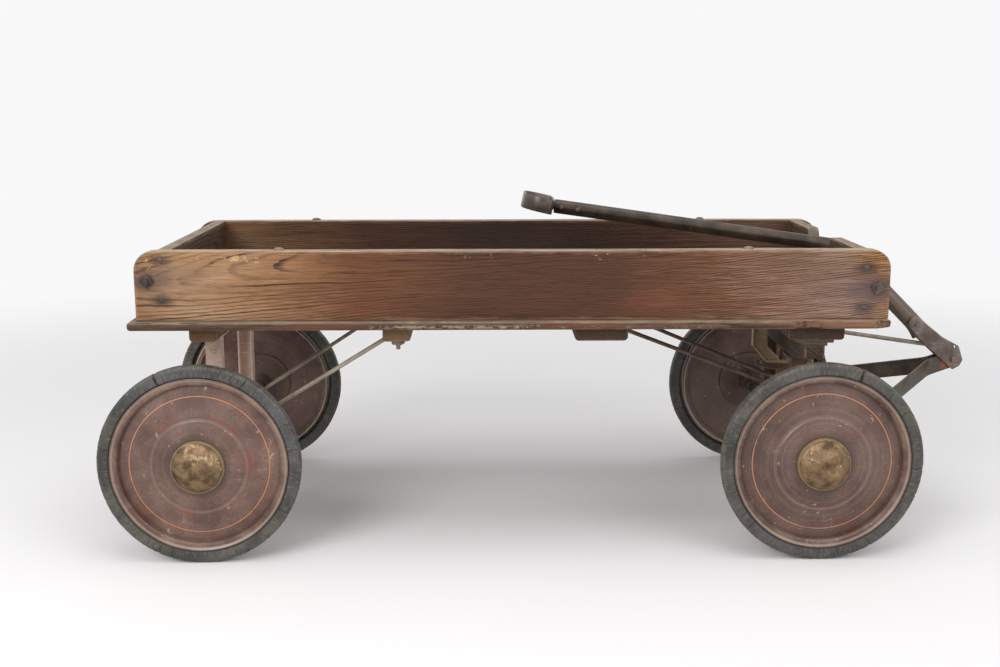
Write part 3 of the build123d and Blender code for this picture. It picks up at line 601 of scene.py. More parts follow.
floor_width = (floor_high.y - floor_low.y) / floor_board_count
floor_net = bmesh.new()
for board in range(floor_board_count):
    first = board == 0
    last = board == floor_board_count - 1
    low = Vector((floor_low.x, floor_low.y + board * floor_width, floor_low.z))
    high = Vector((floor_high.x, floor_low.y + (board + 1) * floor_width, floor_high.z))
    if not first:
        low.y += floor_joint / 2
    if not last:
        high.y -= floor_joint / 2
    planed_board(
        floor_net,
        low,
        high,
        (0.005 if first else 0.02, 0.012, 0.003),
        (nose, nose if first else joint_round, nose),
        (nose, nose if last else joint_round, nose),
        knocked_nose,
    )
floor_finish = old_wood(
    "floor_wood",
    floor_low,
    floor_high,
    0,
    floor_tones,
    paint(54, 38, 28),
    (-0.02, 0.03, 0.03, 0.05, 0.0042, 0.02),
    rub=0.0024,
    dust=0.5,
    stains=floor_stains,
    flecks=floor_flecks,
)
joinery(floor_net, "floor", floor_finish, "box", "floor_wood", "floor_boards")

# Side boards: two ash boards, 18 mm thick, on edge on the floor, with their upper corners cut
# round. Nails through them hold the end boards, and a tie rod's nut draws each end tight. The
# old varnish is orange where it is thick, and the ends have weathered to open silvery grain.
corner_radius = 0.025
side_round = 0.0016


def cut_corners(low, high):
    """Rounds a side board's two upper corners and hollows its top edge a little with wear."""

    def shape(point, offsets, edge):
        wear = max(0, noise.noise(point * 24)) * 0.0014 + max(0, noise.noise(point * 110)) * 0.0007
        moved = Vector(point)
        if offsets.length > 1:
            moved -= Vector(offsets).normalized() * wear * edge
        hollow = noise.noise(Vector((point.x * 6, point.y, 4))) * 0.0006
        moved.z += hollow * (point.z - low.z) / (high.z - low.z)
        near_end = max(low.x + corner_radius - moved.x, moved.x - high.x + corner_radius)
        near_top = moved.z - high.z + corner_radius
        if near_end > 0 and near_top > 0:
            reach = max(near_end, near_top)
            scale = reach / math.hypot(near_end, near_top)
            way = 1 if moved.x > (low.x + high.x) / 2 else -1
            moved.x += way * (near_end * scale - near_end)
            moved.z += near_top * scale - near_top
        return moved

    return shape


tie_rod_spots = {end: sum(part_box(f"tie_rod_{end}"), Vector()) / 2 for end in ("rear", "front")}
# Columns: x, z of each nail in a side board
nail_places = [(-0.4967, 0.3798), (-0.4967, 0.3284), (0.3820, 0.3683), (0.3809, 0.3176)]
# Columns: place along the board from 0 at the rear to 1, colour there
side_tones = [
    (0.0, paint(142, 103, 70)),
    (0.07, paint(170, 136, 104)),
    (0.17, paint(150, 111, 76)),
    (0.29, paint(110, 68, 39)),
    (0.45, paint(80, 48, 28)),
    (0.62, paint(79, 47, 27)),
    (0.76, paint(108, 69, 43)),
    (0.88, paint(146, 112, 90)),
    (0.95, paint(150, 119, 100)),
    (1.0, paint(160, 113, 64)),
]
# Columns: place along the board, how dark its lines are, how silvery its open fibres are
side_grain = [
    (0.0, 0.9, 0.1),
    (0.22, 0.85, 0.0),
    (0.38, 0.5, 0.0),
    (0.6, 0.5, 0.0),
    (0.74, 0.85, 0.1),
    (0.88, 1.0, 0.36),
    (1.0, 1.0, 0.32),
]
# Columns: x, z, reach of each place where the wood is plain, without lines
plain_places = [(-0.44, 0.352, 0.034), (-0.31, 0.372, 0.030), (-0.24, 0.380, 0.024)]
# Columns: two corners of the flecked stretch of the near face, amount, colour
side_flecks = [
    ((-0.475, -0.2, 0.374), (-0.37, -0.19, 0.3870), 0.48, paint(206, 172, 116)),
    ((-0.530, -0.2, 0.352), (-0.49, -0.19, 0.3880), 0.45, paint(196, 152, 88)),
    ((-0.18, -0.2, 0.378), (0.22, -0.19, 0.3890), 0.37, paint(196, 172, 138)),
]
# Heart over the board's foot and depth behind it, at the rear and at the front, spacing, warp
side_rings = {
    "near": (0.046, 0.170, 0.070, 0.020, 0.0029, 0.012),
    "far": (0.170, 0.230, 0.030, 0.020, 0.0030, 0.010),
}
for side_name, outward in (("near", -1), ("far", 1)):
    low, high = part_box(f"side_board_{side_name}")
    side_net = bmesh.new()
    rounds = (side_round,) * 3
    planed_board(side_net, low, high, (0.006, 0.006, 0.005), rounds, rounds, cut_corners(low, high))
    face_y, inner_y = (low.y, high.y) if outward < 0 else (high.y, low.y)
    rear_rod = tie_rod_spots["rear"]
    front_rod = tie_rod_spots["front"]
    # Columns: x, y, z, reach, strength, colour of each stain
    stains = [(x, face_y, z, 0.012, 0.85, paint(44, 32, 28)) for x, z in nail_places]
    stains += [
        (rear_rod.x, face_y, rear_rod.z, 0.026, 0.7, paint(70, 58, 56)),
        (rear_rod.x + 0.05, face_y, 0.362, 0.030, 0.35, paint(112, 92, 82)),
        (front_rod.x, face_y, front_rod.z, 0.034, 0.75, paint(70, 58, 64)),
        (0.345, face_y, 0.330, 0.050, 0.30, paint(104, 82, 84)),
        (0.30, face_y, 0.372, 0.050, 0.40, paint(92, 66, 50)),
        (0.12, face_y, 0.322, 0.040, 0.28, paint(118, 64, 38)),
        (-0.45, face_y, 0.385, 0.035, 0.40, paint(148, 104, 66)),
    ]
    side_finish = old_wood(
        f"side_wood_{side_name}",
        low,
        high,
        0,
        side_tones,
        paint(34, 19, 12),
        side_rings[side_name],
        grain=side_grain,
        rub=0.0045,
        dust=0.8,
        # From here inwards the board's inner face gets painted shade, for the shade inside the box
        inside=(inner_y + outward * 0.0020, inner_y + outward * 0.0008),
        stains=stains,
        blanks=[(x, face_y, z, reach) for x, z, reach in plain_places],
        flecks=side_flecks,
    )
    joinery(side_net, f"side_{side_name}", side_finish, "box", "side_wood", f"side_board_{side_name}")

# End boards: two boards, 16 mm thick, between the sides. The front one is notched so that the
# tongue can lie back over the box, and years of it landing there have rubbed the notch smooth.
rear_low, rear_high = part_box("end_board_rear")
front_low, front_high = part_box("end_board_front")
notch_half = (0.0440, 0.0620)
front_points = [point.co for point in wagon_nodes["end_board_front"].data.vertices]
notch_floor = min(spot.z for spot in front_points if spot.z > front_low.z + 0.01)
end_tones = [
    (0.0, paint(88, 68, 50)),
    (0.5, paint(76, 57, 41)),
    (1.0, paint(84, 65, 48)),
]


def notched(point, offsets, edge):
    """Lets the front board's top edge down into the notch."""
    share = min(1, max(0, (abs(point.y) - notch_half[0]) / (notch_half[1] - notch_half[0])))
    share = 0.7 * share + 0.3 * share**2 * (3 - 2 * share)
    top = notch_floor + (front_high.z - notch_floor) * share
    moved = Vector(point)
    moved.z = front_low.z + (point.z - front_low.z) * (top - front_low.z) / (front_high.z - front_low.z)
    return moved


end_round = 0.0012
end_top_round = 0.002
for name, low, high, shape in (
    ("end_rear", rear_low, rear_high, None),
    ("end_front", front_low, front_high, notched),
):
    end_net = bmesh.new()
    high_rounds = (end_round, end_round, end_top_round)
    planed_board(end_net, low, high, (0.006, 0.0035, 0.008), (end_round,) * 3, high_rounds, shape)
    end_finish = old_wood(
        f"{name}_wood",
        low,
        high,
        1,
        end_tones,
        paint(40, 28, 20),
        (0.03, 0.06, 0.03, 0.05, 0.0034, 0.02),
        rub=0.005,
        dust=0.6,
    )
    joinery(end_net, name, end_finish, "box", "end_wood", name.replace("end_", "end_board_"))

# Cleats: four hardwood battens nailed across under the floor, which tie its boards together and
# take the axle posts, rods and front gear. Their lower edges are rounded. They never saw varnish.
cleat_round = 0.005
cleat_end_round = 0.0015
cleat_top_round = 0.0006
# Columns: node, its end grain's tone, its middle's tone
cleats = [
    ("cleat_rear", paint(128, 98, 70), paint(92, 72, 54)),
    ("cleat_rear_mid", paint(136, 106, 78), paint(88, 68, 52)),
    ("cleat_front_mid", paint(82, 64, 48), paint(70, 54, 42)),
    ("cleat_front", paint(88, 70, 56), paint(72, 56, 45)),
]


def worn_cleat(point, offsets, edge):
    """Rubs a cleat's edges away a little, here and there."""
    return point - Vector(offsets) * edge * 0.001 * max(0, noise.noise(point * 60))


for cleat, end_tone, middle_tone in cleats:
    low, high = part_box(cleat)
    cleat_net = bmesh.new()
    planed_board(
        cleat_net,
        low,
        high,
        (0.008, 0.015, 0.006),
        (cleat_round, cleat_end_round, cleat_round),
        (cleat_round, cleat_end_round, cleat_top_round),
        worn_cleat,
    )
    cleat_finish = old_wood(
        f"{cleat}_wood",
        low,
        high,
        1,
        [(0.0, end_tone), (0.06, end_tone), (0.14, middle_tone), (0.86, middle_tone), (1.0, end_tone)],
        paint(52, 38, 28),
        (-0.045, -0.045, 0.055, 0.055, 0.0027, 0.006),
        rub=0.002,
        shine=0.6,
    )
    joinery(cleat_net, f"{cleat}_batten", cleat_finish, "box", "cleat_wood", cleat)

# Bolster: the hardwood block that the front posts hang from. It turns with the front gear under
# an iron plate, and its ends are cut thinner. Road grease and dust have turned it nearly black.
low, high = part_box("bolster_block")
bolster_shoulder = 0.118
bolster_end_share = 17.0 / 29.0


def thin_ends(point, offsets, edge):
    """Cuts the block's ends up from below."""
    share = max(0, (abs(point.y) - bolster_shoulder) / (high.y - bolster_shoulder))
    moved = Vector(point)
    moved.z = high.z - (high.z - point.z) * (1 - (1 - bolster_end_share) * share)
    return moved


bolster_net = bmesh.new()
planed_board(bolster_net, low, high, (0.008, 0.012, 0.006), (0.002,) * 3, (0.002,) * 3, thin_ends)
bolster_finish = old_wood(
    "bolster_wood",
    low,
    high,
    1,
    [(0.0, paint(84, 68, 56)), (0.5, paint(66, 52, 43)), (1.0, paint(80, 64, 52))],
    paint(40, 30, 25),
    (-0.03, -0.03, 0.04, 0.04, 0.004, 0.01),
    rub=0.003,
    shine=0.6,
)
joinery(bolster_net, "bolster", bolster_finish, "front_truck", "cleat_wood", "bolster_block")

# Iron under the box: pressed channel posts, flat bearing plates and a dished washer, all once
# painted and now bare in places, brown with light rust and coated with road dust.
rust_bloom, given, leave = effect("rust_bloom", {"Spot": (0.0, 0.0, 0.0), "Amount": 0.4}, ["Rust", "Pits"])
tree = rust_bloom
broad = cloud(tree, given["Spot"], 38, 5.0, 0.65)
small = cloud(tree, given["Spot"], 420, 3.0, 0.6)
level = work_out(tree, "SUBTRACT", 0.82, work_out(tree, "MULTIPLY", given["Amount"], 0.5))
tree.links.new(
    fade(tree, work_out(tree, "MULTIPLY_ADD", small, 0.25, broad), level, work_out(tree, "ADD", level, 0.16)),
    leave["Rust"],
)
tree.links.new(fade(tree, small, 0.55, 0.75), leave["Pits"])


def old_iron(name, dark, light, rust=0.4, dust=0.4, metal=0.35, shine=0.5, spots=(), paler=None):
    """Worn iron: two paint or metal tones in patches, rust blooms, pits and dust on its top.

    spots are rusty places with their reach, paler the heights between which it turns a tone paler.
    """
    finish, tree, here = new_finish(name)
    patch = cloud(tree, here, 26, 5.0, 0.6)
    colour = blend(tree, fade(tree, patch, 0.32, 0.68), dark, light)
    if paler:
        start, end, shade = paler
        lower = fade(tree, parts_of(tree, here)[2], start, end)
        colour = laid(tree, colour, lower, 0.8, shade)
    scuff = fade(tree, cloud(tree, stretch(tree, here, 30, 420, 300), 1.0, 3.0), 0.58, 0.7)
    colour = darker(tree, work_out(tree, "MULTIPLY", scuff, 0.35), colour, (2.2, 2.1, 2.0))
    bloom = use(tree, rust_bloom, Spot=here, Amount=rust)
    colour = laid(tree, colour, bloom["Rust"], 0.75, paint(104, 66, 46))
    for x, y, z, reach in spots:
        feeds = {0: here, 1: (x, y, z)}
        away = place(tree, "ShaderNodeVectorMath", feeds, operation="DISTANCE").outputs["Value"]
        ragged = work_out(tree, "MULTIPLY", cloud(tree, here, 260, 4.0), 2.0 * reach)
        spot = fall(tree, away, 0.0, ragged)
        colour = laid(tree, colour, spot, 0.85, paint(158, 88, 52))
    colour = laid(tree, colour, bloom["Pits"], 0.3, (0.02, 0.015, 0.012, 1))
    dusty = use(tree, settled_dust, Amount=dust)["Dust"]
    colour = blend(tree, dusty, colour, paint(150, 134, 114))
    bare = work_out(tree, "SUBTRACT", 1.0, work_out(tree, "MAXIMUM", bloom["Rust"], dusty))
    height = work_out(tree, "MULTIPLY", bloom["Rust"], 0.5)
    height = work_out(tree, "MULTIPLY_ADD", bloom["Pits"], -0.6, height)
    dull = work_out(tree, "MULTIPLY_ADD", bloom["Rust"], 0.25, shine)
    coated(tree, colour, dull, height, 0.4, 0.0005, Metallic=work_out(tree, "MULTIPLY", bare, metal))
    return finish


def refinish(node, finish):
    """Gives a piece that keeps its shape its finish."""
    wagon_nodes[node].data.materials.clear()
    wagon_nodes[node].data.materials.append(finish)


def eased(node, name, finish, slot, ease, sharp=35):
    """A copy of a formed iron piece with its sharp corners eased, which then stands for it."""
    solid = wagon_nodes[node]
    net = bmesh.new()
    net.from_mesh(solid.data)
    bmesh.ops.remove_doubles(net, verts=net.verts, dist=1e-5)
    bmesh.ops.dissolve_limit(net, angle_limit=math.radians(1.2), verts=net.verts, edges=net.edges)
    draft = bpy.data.meshes.new(f"{name}_draft")
    net.to_mesh(draft)
    net.free()
    blank = bpy.data.objects.new(f"{name}_draft", draft)
    bpy.context.scene.collection.objects.link(blank)
    bevel = blank.modifiers.new("ease", "BEVEL")
    bevel.width = ease
    bevel.segments = 2
    bevel.limit_method = "ANGLE"
    bevel.angle_limit = math.radians(sharp)
    bevel.use_clamp_overlap = True
    graph = bpy.context.evaluated_depsgraph_get()
    shaped = bpy.data.meshes.new_from_object(blank.evaluated_get(graph))
    bpy.data.objects.remove(blank)
    net = bmesh.new()
    net.from_mesh(shaped)
    bmesh.ops.triangulate(net, faces=[face for face in net.faces if len(face.verts) > 4])
    return joinery(net, name, finish, solid["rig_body"], slot, node)


# Painted light: the rear posts' paint is laid far paler than it is, against the shade under the box
post_iron_painted_light = old_iron("post_iron_painted_light", paint(196, 168, 152), paint(224, 198, 180), rust=0.2, dust=0.3, metal=0.0)
gear_iron = old_iron("gear_iron", paint(74, 62, 54), paint(98, 84, 72), rust=0.5, dust=0.5)
stay_iron = old_iron("stay_iron", paint(128, 110, 84), paint(170, 150, 120), rust=0.25, dust=0.5, metal=0.2)
post_ease = 0.0009
plate_ease = 0.0006
strap_ease = 0.0007
for node in ("rear_post_near", "rear_post_far"):
    eased(node, f"{node}_iron", post_iron_painted_light, "frame_steel", post_ease)
for node in ("front_post_near", "front_post_far"):
    eased(node, f"{node}_iron", gear_iron, "frame_steel", post_ease)
for node in ("upper_plate", "lower_plate"):
    eased(node, f"{node}_iron", gear_iron, "frame_steel", plate_ease)
eased("stay_strap", "stay_iron_strap", stay_iron, "frame_steel", strap_ease)
for node in ("king_bolt", "king_dish"):
    refinish(node, gear_iron)

# Round rods and axles: drawn iron bar. The rods stay the posts and the king bolt from the
# cleats, with a flattened, bolted tab above and a forged eye below. They are dull and dusty.
pale_iron = old_iron("pale_iron", paint(124, 112, 98), paint(160, 148, 132), rust=0.25, dust=0.5, shine=0.55)
dark_iron = old_iron("dark_iron", paint(80, 67, 56), paint(116, 101, 86), rust=0.35, dust=0.3, shine=0.55)
axle_iron = old_iron("axle_iron", paint(70, 62, 56), paint(104, 94, 84), rust=0.4, dust=0.3, metal=0.6)
for finish, nodes in (
    (pale_iron, ("rear_rod_near", "rear_rod_far", "brace_rod")),
    (dark_iron, ("front_rod_near", "front_rod_far")),
    (axle_iron, ("rear_axle", "front_axle")),
):
    for node in nodes:
        refinish(node, finish)

# Hounds: two flat steel bars on edge that splay from the tongue's pivot back to the axle's ends.
# Black once, they are polished brown by wear, with rust where they rub at the pivot.
pivot_low, pivot_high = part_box("pivot_pin")
pivot = (pivot_low + pivot_high) / 2
hound_steel = old_iron(
    "hound_steel",
    paint(62, 54, 48),
    paint(88, 78, 70),
    rust=0.3,
    dust=0.25,
    metal=0.5,
    shine=0.42,
    spots=[(pivot.x - 0.012, pivot.y - 0.006, pivot.z - 0.010, 0.010)],
)
hound_ease = 0.0008
for node in ("hound_near", "hound_far"):
    eased(node, f"{node}_bar", hound_steel, "tongue_steel", hound_ease)

# Tyres: solid rubber, 18 mm wide, pressed into the rims. They have hardened and perished to a
# dusty dark grey, cracked across all round and frayed at the shoulder. Each is turned from one
# section by geometry nodes, with cracks and wear that differ from wheel to wheel.


def shape_rule(name, inputs):
    """Starts a geometry tree that puts out one mesh; gives it and its named inputs."""
    tree = bpy.data.node_groups.new(name, "GeometryNodeTree")
    for title, kind, value in inputs:
        socket = tree.interface.new_socket(title, in_out="INPUT", socket_type=f"NodeSocket{kind}")
        if value is not None:
            socket.default_value = value
    tree.interface.new_socket("Geometry", in_out="OUTPUT", socket_type="NodeSocketGeometry")
    return tree, place(tree, "NodeGroupInput").outputs


def scaled(tree, spot, amount):
    """A place or a way, longer or shorter by one amount."""
    return place(tree, "ShaderNodeVectorMath", {0: spot, "Scale": amount}, operation="SCALE").outputs[0]


tyre_turner, given = shape_rule(
    "turned_tyre",
    [
        ("Centre", "Vector", (0.0, 0.0, 0.0)),
        ("Radius", "Float", 0.127),
        ("Wall", "Float", 0.016),
        ("Width", "Float", 0.018),
        ("Shoulder", "Float", 0.0035),
        ("Crack Depth", "Float", 0.0012),
        ("Split Turn", "Float", 0.0),
        ("Split Depth", "Float", 0.003),
        ("Seed", "Float", 0.0),
        ("Rubber", "Material", None),
    ],
)
tree = tyre_turner
turns = 960
section_points = 44
# A ring swept round a hoop from one section with round shoulders
middle_radius = work_out(tree, "SUBTRACT", given["Radius"], work_out(tree, "MULTIPLY", given["Wall"], 0.5))
feeds = {"Resolution": turns, "Radius": middle_radius}
hoop = place(tree, "GeometryNodeCurvePrimitiveCircle", feeds).outputs[0]
section = place(
    tree, "GeometryNodeCurvePrimitiveQuadrilateral", {"Width": given["Wall"], "Height": given["Width"]}
).outputs[0]
section = place(
    tree, "GeometryNodeFilletCurve", {"Curve": section, "Radius": given["Shoulder"], "Count": 5}, mode="POLY"
).outputs[0]
section = place(tree, "GeometryNodeResampleCurve", {"Curve": section, "Count": section_points}).outputs[0]
ring = place(tree, "GeometryNodeCurveToMesh", {"Curve": hoop, "Profile Curve": section}).outputs[0]
# Each point's way out from the middle of the rubber, and a place that differs by wheel
at = place(tree, "GeometryNodeInputPosition").outputs[0]
x, y = parts_of(tree, at)[:2]
outwards = place(
    tree,
    "ShaderNodeVectorMath",
    {0: place(tree, "ShaderNodeCombineXYZ", {0: x, 1: y, 2: 0.0}).outputs[0]},
    operation="NORMALIZE",
).outputs[0]
core = scaled(tree, outwards, middle_radius)
skin = work_out_place(tree, "SUBTRACT", at, core)
skin = place(tree, "ShaderNodeVectorMath", {0: skin}, operation="NORMALIZE").outputs[0]
seeded = place(tree, "ShaderNodeCombineXYZ", {0: given["Seed"], 1: 0.0, 2: 0.0}).outputs[0]
spot = work_out_place(tree, "ADD", at, seeded)
# How deep each point has sunk, by ragged cracks across, wear, pits and one wide split
jag = cloud(tree, spot, 130, 3.0)
turned = work_out(tree, "ARCTAN2", y, x)
turn = work_out(tree, "MULTIPLY", turned, 46 / math.pi)
turn = work_out(tree, "ADD", work_out(tree, "MULTIPLY_ADD", jag, 1.1, turn), given["Seed"])
cells = place(tree, "ShaderNodeTexVoronoi", {"W": turn, "Scale": 1.0}, voronoi_dimensions="1D", feature="F1")
strength = work_out(tree, "POWER", parts_of(tree, cells.outputs["Color"])[0], 4.0)
crack = fall(tree, cells.outputs["Distance"], 0.0, 0.12)
crack = work_out(tree, "MULTIPLY", crack, strength)
wear = work_out(tree, "MULTIPLY", work_out(tree, "SUBTRACT", cloud(tree, spot, 26, 3.0), 0.35), 0.35)
pitted = work_out(tree, "MULTIPLY", fade(tree, cloud(tree, spot, 420, 2.0), 0.6, 0.75), 0.35)
sunk = work_out(tree, "ADD", crack, work_out(tree, "ADD", wear, pitted))
sunk = work_out(tree, "MULTIPLY", sunk, given["Crack Depth"])
off_split = work_out(tree, "SUBTRACT", work_out(tree, "MULTIPLY_ADD", jag, 0.05, turned), given["Split Turn"])
split = fall(tree, work_out(tree, "ABSOLUTE", off_split), 0.004, 0.016)
sunk = work_out(tree, "MULTIPLY_ADD", split, given["Split Depth"], sunk)
# The rubber that sits in the rim stays whole
seated = place(tree, "ShaderNodeVectorMath", {0: skin, 1: outwards}, operation="DOT_PRODUCT").outputs["Value"]
sunk = work_out(tree, "MULTIPLY", work_out(tree, "MAXIMUM", sunk, 0.0), fade(tree, seated, -0.9, -0.5))
offset = scaled(tree, skin, work_out(tree, "MULTIPLY", sunk, -1.0))
worn_ring = place(tree, "GeometryNodeSetPosition", {"Geometry": ring, "Offset": offset}).outputs[0]
standing = place(
    tree,
    "GeometryNodeTransform",
    {"Geometry": worn_ring, "Translation": given["Centre"], "Rotation": (math.pi / 2, 0.0, 0.0)},
).outputs[0]
whole = place(tree, "GeometryNodeRealizeInstances", {"Geometry": standing}).outputs[0]
covered = place(tree, "GeometryNodeSetMaterial", {"Geometry": whole, "Material": given["Rubber"]}).outputs[0]
place(tree, "NodeGroupOutput", {"Geometry": covered})


def socket_name(tree, title):
    """The identifier of a geometry tree's input."""
    items = [item for item in tree.interface.items_tree if item.in_out == "INPUT"]
    return next(item.identifier for item in items if item.name == title)


def grown_from(tree, name, inputs, blank=None):
    """The mesh that a geometry tree makes with these inputs, as a plain mesh."""
    start = bpy.data.objects.new(f"{name}_draft", blank or bpy.data.meshes.new(f"{name}_draft"))
    bpy.context.scene.collection.objects.link(start)
    maker = start.modifiers.new("maker", "NODES")
    maker.node_group = tree
    for title, value in inputs.items():
        maker[socket_name(tree, title)] = value
    graph = bpy.context.evaluated_depsgraph_get()
    made = bpy.data.meshes.new_from_object(start.evaluated_get(graph))
    bpy.data.objects.remove(start)
    net = bmesh.new()
    net.from_mesh(made)
    bmesh.ops.remove_doubles(net, verts=net.verts, dist=1e-6)
    return net


def wheel_spot(tree, here, centre):
    """A place measured from a wheel's middle, and how far it is from the wheel's axis."""
    back = tuple(-value for value in centre)
    spot = place(tree, "ShaderNodeMapping", {"Vector": here, "Location": back}).outputs[0]
    parts = parts_of(tree, spot)
    squares = work_out(tree, "POWER", parts[0], 2.0), work_out(tree, "POWER", parts[2], 2.0)
    return spot, work_out(tree, "SQRT", work_out(tree, "ADD", *squares))


def perished_rubber(name, centre, radius):
    """Old hard tyre rubber: dark grey, bluish in places, dusty, and crazed where it has cracked."""
    finish, tree, here = new_finish(name)
    spot, reach = wheel_spot(tree, here, centre)
    x, y, z = parts_of(tree, spot)[:3]
    turn = work_out(tree, "ARCTAN2", z, x)
    patch = cloud(tree, here, 24, 5.0, 0.65)
    colour = blend(tree, fade(tree, patch, 0.3, 0.7), paint(43, 41, 37), paint(82, 79, 72))
    blue = fade(tree, cloud(tree, here, 9, 2.0), 0.45, 0.65)
    colour = laid(tree, colour, blue, 0.3, paint(82, 82, 86))
    rays = place(
        tree,
        "ShaderNodeCombineXYZ",
        {0: work_out(tree, "MULTIPLY", turn, 60.0), 1: work_out(tree, "MULTIPLY", reach, 90.0), 2: y},
    ).outputs[0]
    crazed = cloud(tree, rays, 1.0, 6.0, 0.75)
    pale = work_out(tree, "MULTIPLY", fade(tree, crazed, 0.52, 0.66), 0.5)
    colour = blend(tree, pale, colour, paint(132, 127, 121))
    lines = fall(tree, crazed, 0.3, 0.42)
    colour = laid(tree, colour, lines, 0.85, paint(30, 28, 28))
    specks = fade(tree, cloud(tree, here, 380, 4.0, 0.7), 0.6, 0.68)
    colour = laid(tree, colour, specks, 0.6, paint(36, 33, 31))
    foot = fade(tree, reach, radius - 0.005, radius)
    dirt = work_out(tree, "MULTIPLY", foot, fade(tree, cloud(tree, here, 90, 4.0), 0.35, 0.7))
    colour = laid(tree, colour, dirt, 0.35, paint(128, 116, 102))
    # Painted shadow: the rubber's inner edge against the rim is laid near black
    inner = fall(tree, reach, radius - 0.0155, radius - 0.0125)
    colour = laid(tree, colour, inner, 0.92, (0.006, 0.005, 0.005, 1))
    height = work_out(tree, "MULTIPLY_ADD", lines, -0.9, work_out(tree, "MULTIPLY", crazed, 0.6))
    coated(tree, colour, work_out(tree, "MULTIPLY_ADD", patch, 0.3, 0.5), height, 0.5, 0.0009)
    return finish


tyre_wall = 0.0165
tyre_shoulder = 0.0042
crack_depth = 0.0022
split_depth = 0.0045
wheel_names = ("rear_near", "rear_far", "front_near", "front_far")
# Degrees round each wheel to the one wide split in its tyre
tyre_splits = (113.8, 200.0, 68.3, 310.0)
split_set_off = 0.025
wheel_centres = {}
for number, wheel in enumerate(wheel_names):
    low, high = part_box(f"tyre_{wheel}")
    centre = (low + high) / 2
    wheel_centres[wheel] = centre
    radius = (high.x - low.x) / 2
    rubber = perished_rubber(f"tyre_rubber_{wheel}", centre, radius)
    inputs = {
        "Centre": centre[:],
        "Radius": radius,
        "Wall": tyre_wall,
        "Width": high.y - low.y,
        "Shoulder": tyre_shoulder,
        "Crack Depth": crack_depth,
        "Split Turn": math.radians(tyre_splits[number]) + split_set_off,
        "Split Depth": split_depth,
        "Seed": 3.7 * number,
        "Rubber": rubber,
    }
    tyre_net = grown_from(tyre_turner, f"tyre_{wheel}", inputs)
    joinery(tyre_net, f"rubber_{wheel}", rubber, f"wheel_{wheel}", "tyre_rubber", f"tyre_{wheel}", sharp=60)

# Wheel discs: pressed sheet steel, dished outwards to the hub and rolled over at the rim, stove
# enamelled maroon with one fine orange stripe and a red line on the pressed ring. The enamel is
# dull and brown with age, rubbed in rings, scuffed through in spots and dirty round the cap.
stripe_radius = 0.0876
stripe_half = 0.00034
red_line_radius = 0.0625
red_line_half = 0.0016
ring_radius = 0.0595
rolled_lip_radius = 0.1085


